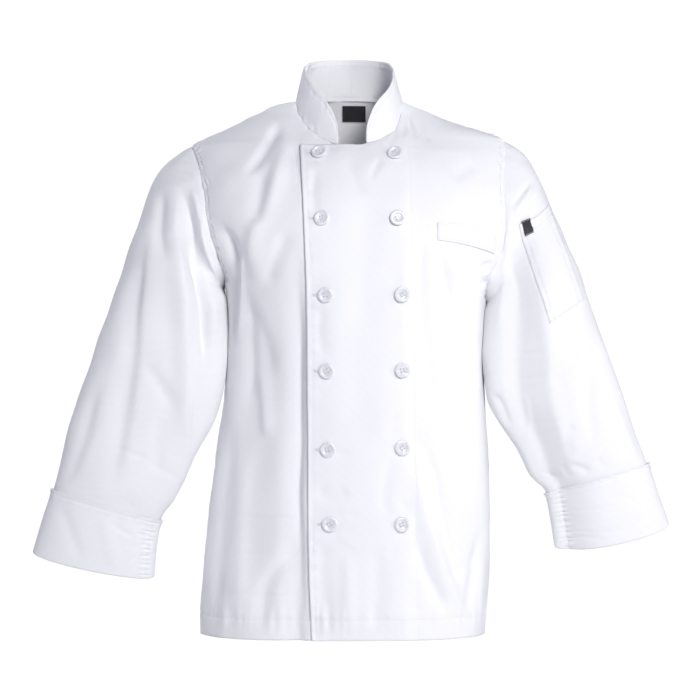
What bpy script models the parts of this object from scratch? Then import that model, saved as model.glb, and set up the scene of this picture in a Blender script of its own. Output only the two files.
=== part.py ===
"""Chef jacket: a white double-breasted cotton coat, hollow and filled out as it is when worn.

Blender 4.5, metres, +Z up. The front faces -Y, so the wearer's left side is at +X.
The origin is the middle of the neck, level with the neck ends of the two shoulder seams.
Every piece of cloth is an open surface worked out from the tables below, with Solidify for its
thickness. Tables are in millimetres and degrees.
"""

import math

import bpy
import numpy as np
from mathutils import Matrix, Vector

MM = 0.001

# Driving dimensions
LENGTH = 766 * MM  # from the neck end of the shoulder seam down to the hem
WALL = 1.8 * MM
COLLAR_WALL = 2.4 * MM
CUFF_WALL = 2.0 * MM
POCKET_WALL = 1.2 * MM
LABEL_WALL = 1.0 * MM
SEAM_GAP = 0.3 * MM
LAYER_GAP = 0.7 * MM  # between the two fronts where they overlap
NECK_HALF_WIDTH = 76.5 * MM
NECK_DROP = 70 * MM  # from the shoulder seams down to the front of the neckline
COLLAR_HEIGHT = 59 * MM
CUFF_LIP = 28 * MM  # how far the cuff reaches up inside the sleeve
BUTTON_SIDES = 16
BUTTON_STAND = 0.2 * MM  # more than the seam gap, because the cloth below is bent
WELT_STAND = 0.2 * MM
POCKET_STAND = 0.5 * MM
NECK_LABEL_STAND = 0.5 * MM
LABEL_STAND = 0.6 * MM
CUFF_STAND = 0.5 * MM  # between the sleeve's cloth and the cuff on both its faces
COLLAR_INSET = 0.7 * MM  # how far the collar's foot lies inside the edge of the neck
OVERLAP = (75 * MM, 97 * MM)  # from x to x the left front comes down to the body's own surface
OVERLAP_TOP = (-66 * MM, -40 * MM)
FREE_EDGE = 22 * MM  # width of the free front edge
LEVEL_BELOW_ARMHOLE = 40 * MM  # the rows of a front are level up to here

# The body from the hem up to the neck. right and left are half widths on the wearer's two
# sides, front and back are depths from the middle, square is the exponent of the section's
# curve (2 is an ellipse), and raise_back lifts the middle of the back.
BODY = (
    # height, right, left, front, back, square, raise_back
    (-766, 214.5, 196, 151, 148, 2.45, 0),
    (-740, 214.5, 198, 151, 147, 2.4, 0),
    (-690, 212, 202, 150, 145, 2.3, 0),
    (-620, 204.5, 203, 148, 141, 2.3, 0),
    (-550, 197.5, 202, 146, 136, 2.25, 0),
    (-490, 189, 200, 145, 131, 2.15, 0),
    (-430, 182, 196, 147, 129, 2.1, 0),
    (-370, 177.5, 194.5, 150, 130, 2.05, 0),
    (-310, 176.3, 196, 152, 134, 2.1, 0),
    (-285, 176.8, 197.5, 152, 136, 2.2, 0),
    (-262, 179, 206, 151, 137, 2.25, 0),
    (-225, 199, 233, 147, 137, 2.3, 0),
    (-191, 218, 247, 142, 135, 2.3, 0),
    (-157, 230, 249, 133, 130, 2.2, 0),
    (-113, 232, 243, 112, 119, 2.1, 1),
    (-80, 230, 235, 86, 107, 2.0, 2),
    (-66, 228, 229.5, 71, 100, 2.0, 3),
    (-56, 210, 223, 60, 95, 2.0, 3.5),
    (-35, 165, 165, 40, 84, 2.0, 5),
    (-18, 131, 119, 23.5, 74, 2.0, 6.5),
    (-4, 102, 85, 10, 64.5, 2.0, 7.5),
    (0, 76.5, 76.5, 5, 62, 2.0, 8),
)

# Where the sleeves are set in: egg-shaped holes, measured in height and in degrees round the
# body. neck_square is the exponent of the neckline's curve on that side.
SIDES = {
    # sign, top, bottom, front degrees, back degrees, neck_square
    "right": (-1, -64, -262, 30, 26, 1.8),
    "left": (1, -56, -285, 30, 27, 2.5),
}

# The front edge of the left front, which lies on top.
FRONT_EDGE = (
    # height, x
    (-766, -51),
    (-720, -53),
    (-600, -56),
    (-390, -56.5),
    (-300, -57.5),
    (-207, -61),
    (-123, -65.5),
    (-71, -69),
)
UNDER_EDGE_X = 70 * MM  # the hidden front edge of the right front
TOP_CORNER = -71 * MM  # height of the straight upper edge of the left front
UNDER_CORNER = -74 * MM
HEM_RISE = 4 * MM  # of the hem at the middle of the front
EDGE_LIFT = 1.0 * MM  # how far the free front edge stands off

# The sleeves from the upper arm down to the turned edge of the cuff: outer and inner are the
# two edges seen from the front, x counted outwards from the middle; depth is half the thickness
# from front to back, forward is how far the middle lies towards the front, and droop lowers
# the front of the section along the arm.
SLEEVES = {
    # outer_x, outer_z, inner_x, inner_z, depth, forward, droop
    "right": (
        (297.5, -157, 182, -273, 66, 4, 0),
        (319, -223, 178.7, -290, 66, 18, 0),
        (344, -298, 177, -352, 56, 24, 0),
        (371.5, -382, 184, -434, 46, 33, 0),
        (400, -468, 223.5, -518, 42, 33, 0),
        (415.5, -528, 252, -577, 38, 32, 0),
        (423.5, -560, 271, -604, 35, 31, 0),
        (438, -606, 279, -644, 34, 32, 0),
        (450.5, -648.5, 282, -683, 31, 33, 6),
    ),
    "left": (
        (293, -157, 201.5, -294, 67, 4, 0),
        (326, -235, 198, -312, 67, 20, 0),
        (350, -308, 194.5, -366, 57, 30, 0),
        (372.5, -372, 201.5, -427, 49, 34, 0),
        (399, -446, 241, -503, 43, 34, 0),
        (413, -488, 261, -541, 39, 32, 0),
        (427, -523, 284, -565, 36, 30, 0),
        (442, -568, 292, -603, 35, 30, 4),
        (456, -608, 298, -641, 32, 32, 10),
    ),
}
CUFF_TOP = 7  # row of each sleeve table, counted from 1, where the cuff ends
CUFF_BOTTOM = 9
ROW_LENGTH = 46 * MM  # between the last two rows of each sleeve table
SLEEVE_END = 0.07  # rows by which the sleeve's cloth ends above the turned edge of the cuff
CROWN_SLOPE = math.radians(23)  # how steeply the sleeve leaves the shoulder
CROWN_REACH = 1.3  # fullness of the crown, as a share of its length
CROWN_BULGE = 0.35  # how far the crown swells to the front and back
SQUARE_GAP = 3.1 * MM
UNDERARM_GAP = 2.1 * MM

# The largest folds, each along a line through three points as seen from the front. Negative
# depths are troughs and positive ones are ridges.
FOLDS = (
    # piece, face, three points as x and z, width, depth
    ("sleeve_right", "front", -233, -125, -222, -190, -204, -268, 11, -13),
    ("sleeve_right", "front", -243, -110, -250, -150, -246, -200, 12, 6),
    ("sleeve_right", "front", -262, -330, -262, -400, -275, -500, 26, 7),
    ("sleeve_right", "back", -300, -270, -320, -330, -350, -400, 18, -8),
    ("sleeve_right", "back", -215, -330, -270, -380, -330, -420, 15, -7),
    ("sleeve_left", "front", 228, -158, 244, -140, 262, -116, 8, -5),
    ("sleeve_left", "front", 233, -230, 245, -330, 262, -440, 18, -12),
    ("sleeve_left", "front", 276, -470, 285, -515, 296, -565, 13, -7),
    ("sleeve_left", "back", 300, -280, 325, -340, 350, -420, 18, -8),
    ("sleeve_left", "back", 225, -350, 270, -390, 335, -430, 15, -7),
    ("body", "front", -196, -165, -152, -205, -156, -275, 19, -12),
    ("body", "front", -88, -400, -92, -560, -88, -745, 16, -8),
    ("body", "front", 100, -500, 126, -640, 160, -735, 16, 9),
    ("body", "front", 138, -470, 160, -600, 182, -725, 16, -9),
    ("body", "front", 150, -250, 158, -330, 160, -420, 22, 6),
    ("body", "back", -125, -190, -112, -300, -100, -430, 22, -11),
    ("body", "back", 120, -200, 105, -310, 98, -440, 22, -10),
    ("body", "back", -30, -440, -18, -560, -22, -710, 26, 9),
    ("body", "back", 150, -480, 158, -600, 166, -745, 20, -10),
    ("body", "back", -148, -500, -160, -620, -164, -745, 20, -10),
)

# Both rows of buttons, from the collar down. lean turns a button about its own vertical.
BUTTONS = (
    # name, x, z, lean
    ("button_right_1", -42, -85, -6),
    ("button_right_2", -37.5, -178, 0),
    ("button_right_3", -32, -284, 0),
    ("button_right_4", -30.5, -389, 0),
    ("button_right_5", -29, -498, 0),
    ("button_right_6", -26.5, -601, 0),
    ("button_left_1", 64, -86, -5),
    ("button_left_2", 67, -178, 4),
    ("button_left_3", 72, -283, -4),
    ("button_left_4", 73, -388, 0),
    ("button_left_5", 73, -496, 0),
    ("button_left_6", 72.5, -602, 0),
)
# Radius and height of a button's turned profile, from the middle of its face round to its back.
BUTTON_PROFILE = (
    (0, 0.6),
    (6.2, 0.6),
    (7.6, 1.7),
    (9.8, 1.7),
    (11, 0.4),
    (9.2, -1.7),
    (0, -1.7),
)

# The welt of the breast pocket: x, top, bottom.
WELT = (
    (123, -183, -207),
    (146, -184, -210),
    (168, -186.5, -214),
    (188, -191.5, -219),
    (205, -197.5, -223.5),
)

# Corners of the pocket and of the label on the left sleeve, x and z as seen from the front.
SLEEVE_POCKET = {
    "top_inner": (240, -182),
    "top_outer": (285.5, -152),
    "bottom_inner": (283, -323),
    "bottom_outer": (333, -289),
}
SLEEVE_POCKET_BOW = 6 * MM  # how far the pocket's mouth sags between its corners
SLEEVE_LABEL = {
    "top_inner": (243, -178),
    "top_outer": (256, -173),
    "bottom_inner": (250, -199),
    "bottom_outer": (263, -193),
}
NECK_LABEL_HALF_WIDTH = 17.5 * MM
NECK_LABEL_MIDDLE = 7.5 * MM
NECK_LABEL_TOP = -5.5 * MM
NECK_LABEL_BOTTOM = -27 * MM

# The collar's ends on the neckline, and its rounded front corners.
COLLAR_END_RIGHT = -15.6 * MM
COLLAR_END_LEFT = 24.8 * MM
COLLAR_CORNER = 46 * MM  # length along the neck over which the height runs out
COLLAR_END_HEIGHT = 12 * MM
# Round the neck from the front (0 degrees) to the back (180): how far the collar leans in at its
# upper edge, and how far its foot stands above the edge of the neck.
COLLAR_SHAPE = (
    # degrees, lean, clearance
    (0, 11, 2.8),
    (60, 13, 2.8),
    (90, 19, 3.0),
    (130, 15, 1.7),
    (180, 10, 1.5),
)

# How finely each piece is divided
SIDE_ROWS = 12
ARMHOLE_ROWS = 8
SHOULDER_ROWS = 5
FRONT_COLUMNS = 18
BACK_COLUMNS = 24
SLEEVE_SIDES = 20
CROWN_ROWS = 5
SLEEVE_ROWS = 16
COLLAR_STEPS = 30
COLLAR_ROWS = 4
DENSE_SIDE = 1.35  # crowds a front's columns towards its side seam
DENSE_ENDS = 0.6  # crowds the back's columns towards both side seams
SEAM_COLUMN = 4 * MM
CUT_FADE = 3  # how quickly the armhole's cut fades from a front's columns

MATERIALS = {
    # red, green, blue, roughness
    "white_twill": (0.80, 0.80, 0.84, 0.85),
    "button_plastic": (0.72, 0.73, 0.75, 0.3),
    "label_black": (0.012, 0.012, 0.013, 0.7),
}


def smooth(rows, at):
    """The table's other columns where its first is `at`, by monotone cubic interpolation."""
    table = np.array(rows, float)
    key, values = table[:, 0], table[:, 1:]
    at = np.asarray(at, float)
    step = np.diff(key)[:, None]
    slope = np.diff(values, axis=0) / step
    before, after = slope[:-1], slope[1:]
    same = before * after > 0
    safe_before, safe_after = np.where(same, before, 1), np.where(same, after, 1)
    weight = step[:-1] + 2 * step[1:]
    other = 2 * step[:-1] + step[1:]
    mean = (weight + other) / (weight / safe_before + other / safe_after)
    tangent = np.vstack([slope[:1], np.where(same, mean, 0), slope[-1:]])
    i = np.clip(np.searchsorted(key, at, side="right") - 1, 0, len(key) - 2)
    h = step[i]
    t = (at - key[i])[..., None] / h
    return (
        values[i] * (2 * t**3 - 3 * t**2 + 1)
        + tangent[i] * h * (t**3 - 2 * t**2 + t)
        + values[i + 1] * (3 * t**2 - 2 * t**3)
        + tangent[i + 1] * h * (t**3 - t**2)
    )


def soft_step(low, high, x):
    """0 at low and 1 at high, with a soft change between them."""
    t = np.clip((np.asarray(x) - low) / (high - low), 0, 1)
    return t * t * (3 - 2 * t)


def unit(vectors):
    return vectors / np.linalg.norm(vectors, axis=-1, keepdims=True)


def normals_of(surface, a, b):
    """Unit normals of a surface at its parameters a and b, from small steps in both."""
    step = 1e-4
    across = surface(a + step, b) - surface(a - step, b)
    along = surface(a, b + step) - surface(a, b - step)
    return unit(np.cross(across, along))


# The body


def body_section(height):
    """right, left, front and back in metres, then square and raise_back."""
    row = smooth(BODY, np.asarray(height) / MM)
    right, left, front, back = (row[..., i] * MM for i in range(4))
    return right, left, front, back, row[..., 4], row[..., 5] * MM


def body_point(angle, height):
    """The body's surface. The angle is 0 at the front, 90 degrees at the wearer's left side,
    -90 or 270 at the right side and 180 at the back."""
    right, left, front, back, square, raise_back = body_section(height)
    side, ahead = np.sin(angle), np.cos(angle)
    reach = (np.abs(side) ** square + np.abs(ahead) ** square) ** (-1 / square)
    x = np.where(side > 0, left, right) * side * reach
    y = -np.where(ahead > 0, front, back) * ahead * reach
    z = height + np.where(ahead < 0, raise_back * ahead**2, 0)
    return np.stack([x, y, z], axis=-1)


def body_angle(x, height):
    """The angle on the front of the body where its surface has this x at this height."""
    right, left, _, _, square, _ = body_section(height)
    share = np.clip(np.abs(x) / np.where(x > 0, left, right), 0, 1)
    rest = (1 - share**square) ** (1 / square)
    return np.sign(x) * np.arctan2(share, rest)


def side_of(name):
    """sign, middle and half height of the armhole, its half angles, and the neckline's square."""
    sign, top, bottom, front, back, square = SIDES[name]
    middle, half = (top + bottom) / 2 * MM, (top - bottom) / 2 * MM
    return sign, middle, half, math.radians(front), math.radians(back), square


def side_line(name, behind):
    """Angles and heights up the side of a panel: side seam, armhole, shoulder seam."""
    sign, middle, half, front, back, _ = side_of(name)
    seam = np.linspace(-LENGTH, middle - half, SIDE_ROWS + 1)
    turn = np.linspace(0, math.pi, ARMHOLE_ROWS + 1)
    shoulder = np.linspace(middle + half, 0, SHOULDER_ROWS + 1)
    height = np.concatenate([seam, (middle - half * np.cos(turn))[1:], shoulder[1:]])
    cut = np.concatenate([seam * 0, np.sin(turn[1:]), shoulder[1:] * 0])
    angle = np.pi / 2 + (back if behind else -front) * cut
    inwards = 1 if behind else -1
    step = inwards * 1e-3
    run = body_point(sign * (angle + step), height) - body_point(sign * angle, height)
    angle = sign * (angle + step * SEAM_GAP / 2 / np.linalg.norm(run, axis=-1))
    if behind and sign < 0:
        angle = angle + 2 * np.pi
    return angle, height


def neckline(name, share):
    """x and height of the front neckline, from its lowest point (0) to the shoulder (1)."""
    sign, _, _, _, _, square = side_of(name)
    turn = np.asarray(share) * np.pi / 2
    x = sign * NECK_HALF_WIDTH * np.sin(turn) ** (2 / square)
    return x, -NECK_DROP * np.cos(turn) ** (2 / square)


def evenly(points, fractions):
    """Rows of (angle, height) at these fractions of the way along the body's surface."""
    steps = np.linalg.norm(np.diff(body_point(points[:, 0], points[:, 1]), axis=0), axis=1)
    along = np.concatenate([[0], np.cumsum(steps)])
    at = np.asarray(fractions) * along[-1]
    return np.stack([np.interp(at, along, points[:, 0]), np.interp(at, along, points[:, 1])], 1)


def coons(bottom, top, start, end, across, up):
    """Blends four edges into a grid. across and up are the fractions of its columns and rows."""
    u, v = across[None, :, None], up[:, None, None]
    along = (1 - v) * bottom[None] + v * top[None]
    aside = (1 - u) * start[:, None] + u * end[:, None]
    low = (1 - u) * bottom[0] + u * bottom[-1]
    high = (1 - u) * top[0] + u * top[-1]
    return along + aside - (1 - v) * low - v * high


def with_seam_column(grid):
    """Adds a narrow column beside the last one, so that the cloth meets its seam squarely."""
    last, before = grid[:, -1], grid[:, -2]
    width = np.linalg.norm(body_point(*last.T) - body_point(*before.T), axis=1)
    share = np.minimum(SEAM_COLUMN / width, 0.5)[:, None]
    beside = last + (before - last) * share
    return np.concatenate([grid[:, :-1], beside[:, None], last[:, None]], axis=1)


def front_grid(name):
    """Angles and heights over one front, from its front edge (first column) to its side."""
    sign = side_of(name)[0]
    dense = 1 - (1 - np.linspace(0, 1, FRONT_COLUMNS + 1)) ** DENSE_SIDE
    side = np.stack(side_line(name, behind=False), 1)
    corner = TOP_CORNER if name == "left" else UNDER_CORNER
    level = np.linspace(HEM_RISE - LENGTH, corner, 200)
    if name == "left":
        edge_x = smooth(FRONT_EDGE, level / MM)[..., 0] * MM
    else:
        edge_x = level * 0 + UNDER_EDGE_X
    edge = np.stack([body_angle(edge_x, level), level], 1)
    # Below the armhole the rows are level; above it they rise towards the shoulder.
    split = (side[SIDE_ROWS, 1] - LEVEL_BELOW_ARMHOLE + LENGTH) / (corner + LENGTH)
    rows = len(side) - 1
    low = np.linspace(0, split, SIDE_ROWS + 1)
    high = np.linspace(split, 1, rows - SIDE_ROWS + 1)[1:]
    start = evenly(edge, np.concatenate([low, high]))
    hem_x = np.linspace(start[0, 0], side[0, 0], 200)
    bottom = evenly(np.stack([hem_x, HEM_RISE * np.cos(hem_x) ** 2 - LENGTH], 1), dense)
    neck_x, neck_z = neckline(name, np.linspace(0.02, 1, 200))
    rise = soft_step(12 * MM, 32 * MM, sign * neck_x)
    neck_z = corner + (neck_z - corner) * rise
    flat_x = np.linspace(edge_x[-1], neck_x[0], 100)[:-1]
    top_x, top_z = np.append(flat_x, neck_x), np.append(flat_x * 0 + corner, neck_z)
    top_angle = body_angle(top_x, top_z)
    top_angle[-1] = side[-1, 0]
    top = evenly(np.stack([top_angle, top_z], 1), dense)
    # The armhole's cut only draws in the columns that are near it.
    uncut = side.copy()
    uncut[:, 0] = np.linspace(side[0, 0], side[-1, 0], rows + 1)
    grid = coons(bottom, top, start, uncut, dense, np.linspace(0, 1, rows + 1))
    grid[..., 0] += (side - uncut)[:, None, 0] * dense[None, :] ** CUT_FADE
    return with_seam_column(grid)


def back_grid():
    """Angles and heights over the back, from the left side round to the right."""
    u = np.linspace(0, 1, BACK_COLUMNS + 1)
    u = (u - DENSE_ENDS * np.sin(2 * np.pi * u) / (2 * np.pi))[None, :, None]
    left = np.stack(side_line("left", behind=True), 1)[:, None]
    right = np.stack(side_line("right", behind=True), 1)[:, None]
    return left + (right - left) * u


def folds(piece, points, normals):
    """How far the folds of a piece move its surface outwards at these points."""
    x, z = points[..., 0] / MM, points[..., 2] / MM
    total = np.zeros(x.shape)
    for name, face, *line, width, depth in FOLDS:
        if name != piece:
            continue
        towards = -normals[..., 1] if face == "front" else normals[..., 1]
        knots = np.array(line, float).reshape(3, 2)
        distance, share = distance_to_line(knots, x, z)
        taper = np.sin(np.pi * np.clip(share, 0, 1)) ** 0.7
        total += depth * taper * np.exp(-((distance / width) ** 2)) * np.clip(towards * 1.5, 0, 1)
    return total * MM


def distance_to_line(knots, x, z):
    """Distance to a line through the knots, and how far along it, 0 to 1, the nearest place is."""
    lengths = np.linalg.norm(np.diff(knots, axis=0), axis=1)
    best, share = np.full(x.shape, np.inf), np.zeros(x.shape)
    for i, length in enumerate(lengths):
        ux, uz = (knots[i + 1] - knots[i]) / length
        t = np.clip((x - knots[i, 0]) * ux + (z - knots[i, 1]) * uz, 0, length)
        distance = np.hypot(x - knots[i, 0] - ux * t, z - knots[i, 1] - uz * t)
        nearer = distance < best
        best = np.where(nearer, distance, best)
        share = np.where(nearer, (lengths[:i].sum() + t) / lengths.sum(), share)
    return best, share


def front_lift(points):
    """How far the left front stands off the body's surface, over the right front."""
    x, z = points[..., 0], points[..., 2]
    over = 1 - soft_step(*OVERLAP, x)
    below = 1 - soft_step(*OVERLAP_TOP, z)
    height = np.clip(z / MM, FRONT_EDGE[0][0], FRONT_EDGE[-1][0])
    edge_x = smooth(FRONT_EDGE, height)[..., 0] * MM
    free = 1 - soft_step(0, FREE_EDGE, x - edge_x)
    return (WALL + LAYER_GAP) * over * below + EDGE_LIFT * free**2


def on_body(angle, height, out, lifted=False):
    """Points of the cloth of the body, moved out by `out`, and the unit normals there."""
    base = body_point(angle, height)
    normals = normals_of(body_point, angle, height)
    lift = front_lift(base) if lifted else 0
    move = folds("body", base, normals) + lift + out
    return base + normals * move[..., None], normals


# The sleeves


def sleeve_ring(name, angle, along):
    """The straight part of a sleeve. along counts the rows of its table from 1. The angle is 0
    at the outer edge, 90 degrees at the front, 180 at the inner edge and 270 at the back."""
    sign = side_of(name)[0]
    rows = [(i + 1, *row) for i, row in enumerate(SLEEVES[name])]
    table = smooth(rows, along) * MM
    outer_x, outer_z, inner_x, inner_z, depth, forward, droop = np.moveaxis(table, -1, 0)
    out, ahead = np.cos(angle), np.sin(angle)
    x = (outer_x + inner_x) / 2 + out * (outer_x - inner_x) / 2
    z = (outer_z + inner_z) / 2 + out * (outer_z - inner_z) / 2 - droop * ahead
    return np.stack([sign * x, -forward - depth * ahead, z], axis=-1)


def sleeve_point(name, angle, along):
    """A sleeve's surface: its crown from the armhole (0) to the first row (1), then the rows."""
    sign, middle, half, front, back, _ = side_of(name)
    angle, along = np.broadcast_arrays(np.asarray(angle, float), np.asarray(along, float))
    up, ahead = np.cos(angle), np.sin(angle)
    hole_angle = np.pi / 2 - np.where(ahead > 0, front, back) * ahead
    hole_height = middle + half * up
    hole = body_point(hole_angle * sign, hole_height)
    outwards = normals_of(body_point, hole_angle * sign, hole_height)
    first = sleeve_ring(name, angle, along * 0 + 1)
    down = unit(sleeve_ring(name, angle, along * 0 + 1.05) - first)
    under = ((1 - up) / 2)[..., None]
    crown = np.array([sign * math.cos(CROWN_SLOPE), 0, -math.sin(CROWN_SLOPE)])
    swell = np.stack([ahead * 0, -ahead * CROWN_BULGE, ahead * 0], axis=-1)
    leave = unit((1 - under) * crown + under * down + swell)
    # The more squarely the sleeve leaves the body, the further off it starts.
    facing = np.sum(leave * outwards, axis=-1, keepdims=True)
    square_on = SQUARE_GAP * facing * np.abs(ahead)[..., None] ** 0.38
    hole = hole + 2 * SEAM_GAP * leave + (square_on + UNDERARM_GAP * under**2) * outwards
    reach = np.linalg.norm(first - hole, axis=-1, keepdims=True) * CROWN_REACH
    t = np.clip(along, 0, 1)[..., None]
    arch = (
        hole * (2 * t**3 - 3 * t**2 + 1)
        + leave * reach * (t**3 - 2 * t**2 + t)
        + first * (3 * t**2 - 2 * t**3)
        + down * reach * (t**3 - t**2)
    )
    return np.where(along[..., None] < 1, arch, sleeve_ring(name, angle, np.maximum(along, 1)))


def on_sleeve(name, angle, along, out):
    """Points of a sleeve's cloth, moved out by `out`, and the unit normals there."""

    def surface(a, b):
        return sleeve_point(name, a, b)

    along = np.maximum(along, 2e-4)
    base = surface(angle, along)
    normals = normals_of(surface, angle, along) * side_of(name)[0]
    move = folds(f"sleeve_{name}", base, normals) + out
    return base + normals * np.asarray(move)[..., None], normals


def sleeve_parameters(name, x, z):
    """The angle and along on the front of a sleeve where it is seen at x and z, by Newton's way."""
    angle, along = np.full(np.shape(x), 0.9), np.full(np.shape(x), 1.0)
    step = 1e-3
    for _ in range(30):
        here = sleeve_point(name, angle, along)
        by_angle = (sleeve_point(name, angle + step, along) - here) / step
        by_along = (sleeve_point(name, angle, along + step) - here) / step
        dx, dz = x - here[..., 0], z - here[..., 2]
        scale = by_angle[..., 0] * by_along[..., 2] - by_angle[..., 2] * by_along[..., 0]
        turn = (dx * by_along[..., 2] - dz * by_along[..., 0]) / scale
        go = (dz * by_angle[..., 0] - dx * by_angle[..., 2]) / scale
        angle = np.clip(angle + np.clip(turn, -0.2, 0.2), 0.02, 1.6)
        along = np.clip(along + np.clip(go, -0.3, 0.3), 0.05, CUFF_BOTTOM)
    return angle, along


# Making objects


def collection_for(name):
    collection = bpy.data.collections.new(name)
    bpy.context.scene.collection.children.link(collection)
    return collection


def material_for(name):
    found = bpy.data.materials.get(name)
    if found:
        return found
    red, green, blue, roughness = MATERIALS[name]
    material = bpy.data.materials.new(name)
    material.use_nodes = True
    shader = material.node_tree.nodes["Principled BSDF"]
    shader.inputs["Base Color"].default_value = (red, green, blue, 1)
    shader.inputs["Roughness"].default_value = roughness
    material.diffuse_color = (red, green, blue, 1)
    return material


def add_object(collection, name, mesh, material):
    mesh.materials.append(material_for(material))
    obj = bpy.data.objects.new(name, mesh)
    collection.objects.link(obj)
    return obj


def grid_faces(rows, columns, closed=False):
    """Quads over a grid of points; closed joins each row's last point to its first."""
    quads = []
    for row in range(rows - 1):
        for column in range(columns if closed else columns - 1):
            following = (column + 1) % columns
            low, high = row * columns, (row + 1) * columns
            quads.append((low + column, low + following, high + following, high + column))
    return quads


def add_cloth(collection, name, points, wall, material="white_twill", closed=False, flip=False):
    """A wall of cloth on a grid of points (rows, columns, 3)."""
    rows, columns = points.shape[:2]
    quads = grid_faces(rows, columns, closed)
    if flip:
        quads = [quad[::-1] for quad in quads]
    mesh = bpy.data.meshes.new(name)
    mesh.from_pydata(points.reshape(-1, 3).tolist(), [], quads)
    mesh.validate()
    mesh.shade_smooth()
    obj = add_object(collection, name, mesh, material)
    thickness = obj.modifiers.new("cloth", "SOLIDIFY")
    thickness.thickness = wall
    thickness.offset = 0
    thickness.use_even_offset = True
    return obj


# The pieces


def add_fronts(collection):
    for name in ("left", "right"):
        grid = front_grid(name)
        points, _ = on_body(grid[..., 0], grid[..., 1], 0, lifted=name == "left")
        add_cloth(collection, f"front_{name}", points, WALL, flip=name == "right")


def add_back(collection):
    grid = back_grid()
    points, _ = on_body(grid[..., 0], grid[..., 1], 0)
    add_cloth(collection, "back", points, WALL)


def add_sleeve(collection, name):
    crown = np.linspace(0, 1, CROWN_ROWS + 1)
    arm = np.linspace(1, CUFF_BOTTOM, SLEEVE_ROWS + 1)[1:]
    arm[-1] -= SLEEVE_END
    along = np.concatenate([crown, arm])[:, None]
    angle = np.linspace(0, 2 * np.pi, SLEEVE_SIDES, endpoint=False)[None, :]
    points, _ = on_sleeve(name, angle + along * 0, along + angle * 0, 0)
    add_cloth(collection, f"sleeve_{name}", points, WALL, closed=True, flip=name == "right")


def add_cuff(collection, name):
    """The outer layer down to the turned edge, the turn, and the lip up inside the sleeve."""
    layer = WALL / 2 + CUFF_WALL / 2 + CUFF_STAND
    turn = np.radians([0, 40, 90, 140, 180])
    outer = np.linspace(CUFF_TOP, CUFF_BOTTOM, 5)[:-1]
    along = np.concatenate([outer, CUFF_BOTTOM + np.sin(turn) * layer / ROW_LENGTH])
    along = np.append(along, CUFF_BOTTOM - CUFF_LIP / ROW_LENGTH)
    out = np.concatenate([outer * 0 + layer, np.cos(turn) * layer, [-layer]])
    angle = np.linspace(0, 2 * np.pi, SLEEVE_SIDES, endpoint=False)[None, :]
    along, out = along[:, None] + angle * 0, out[:, None] + angle * 0
    points, _ = on_sleeve(name, angle + along * 0, along, out)
    add_cloth(collection, f"cuff_{name}", points, CUFF_WALL, closed=True, flip=name == "right")


def collar_path():
    """Angles and heights along the foot of the collar, from its right end to its left end."""
    share = np.linspace(0, 1, 300)
    line = []
    for name, end in (("right", COLLAR_END_RIGHT), ("left", COLLAR_END_LEFT)):
        x, z = neckline(name, share)
        keep = np.abs(x) >= abs(end)
        angle = body_angle(x, z)
        angle[-1] = np.pi / 2 * np.sign(end)
        line.append(np.stack([angle, z], 1)[keep])
    behind = np.linspace(-np.pi / 2, -3 * np.pi / 2, 200)[1:-1]
    back = np.stack([behind, behind * 0], 1)
    left = line[1][::-1] - [2 * np.pi, 0]
    return np.concatenate([line[0], back, left])


def add_collar(collection):
    path = evenly(collar_path(), np.linspace(0, 1, COLLAR_STEPS + 1))
    foot, _ = on_body(path[:, 0], path[:, 1], 0, lifted=False)
    over = (path[:, 0] < -np.pi)[:, None]
    lifted, _ = on_body(path[:, 0], path[:, 1], 0, lifted=True)
    foot = np.where(over, lifted, foot)
    round_neck = np.degrees(np.abs((path[:, 0] + np.pi) % (2 * np.pi) - np.pi))
    lean, clearance = (smooth(COLLAR_SHAPE, round_neck) * MM).T
    inwards = -unit(foot * [1, 1, 0])
    foot = foot + COLLAR_INSET * inwards + clearance[:, None] * [0, 0, 1]
    steps = np.linalg.norm(np.diff(foot, axis=0), axis=1)
    along = np.concatenate([[0], np.cumsum(steps)])
    from_end = np.clip(np.minimum(along, along[-1] - along) / COLLAR_CORNER, 0, 1)
    arc = np.sqrt(1 - (1 - from_end) ** 2)
    height = COLLAR_END_HEIGHT + (COLLAR_HEIGHT - COLLAR_END_HEIGHT) * arc
    v = np.linspace(0, 1, COLLAR_ROWS + 1)[:, None, None]
    rise = height[None, :, None] * v
    tip = rise / COLLAR_HEIGHT
    points = foot[None] + rise * [0, 0, 1] + inwards[None] * lean[None, :, None] * tip**1.3
    add_cloth(collection, "collar", points, COLLAR_WALL, flip=True)


def add_welt(collection):
    x, top, bottom = np.array(WELT, float).T * MM
    v = np.linspace(0, 1, 4)[:, None]
    x = x + v * 0
    z = top * v + bottom * (1 - v)
    out = WALL / 2 + SEAM_GAP + POCKET_WALL / 2 + WELT_STAND
    points, _ = on_body(body_angle(x, z), z, out, lifted=True)
    add_cloth(collection, "chest_pocket_welt", points, POCKET_WALL)


def patch(corners, across, down, bow):
    """x and z over a four-sided patch, its upper edge bowed down by `bow`."""
    corner = {key: np.array(value) * MM for key, value in corners.items()}
    u = np.linspace(0, 1, across + 1)[None, :, None]
    v = np.linspace(0, 1, down + 1)[:, None, None]
    low = corner["bottom_inner"] * (1 - u) + corner["bottom_outer"] * u
    high = corner["top_inner"] * (1 - u) + corner["top_outer"] * u
    high = high - np.array([0, 1]) * bow * np.sin(np.pi * u)
    grid = low + (high - low) * v
    return grid[..., 0], grid[..., 1]


def add_sleeve_pocket(collection):
    x, z = patch(SLEEVE_POCKET, 6, 12, SLEEVE_POCKET_BOW)
    angle, along = sleeve_parameters("left", x, z)
    out = WALL / 2 + SEAM_GAP + POCKET_STAND + POCKET_WALL / 2
    points, _ = on_sleeve("left", angle, along, out)
    add_cloth(collection, "sleeve_pocket", points, POCKET_WALL)


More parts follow.
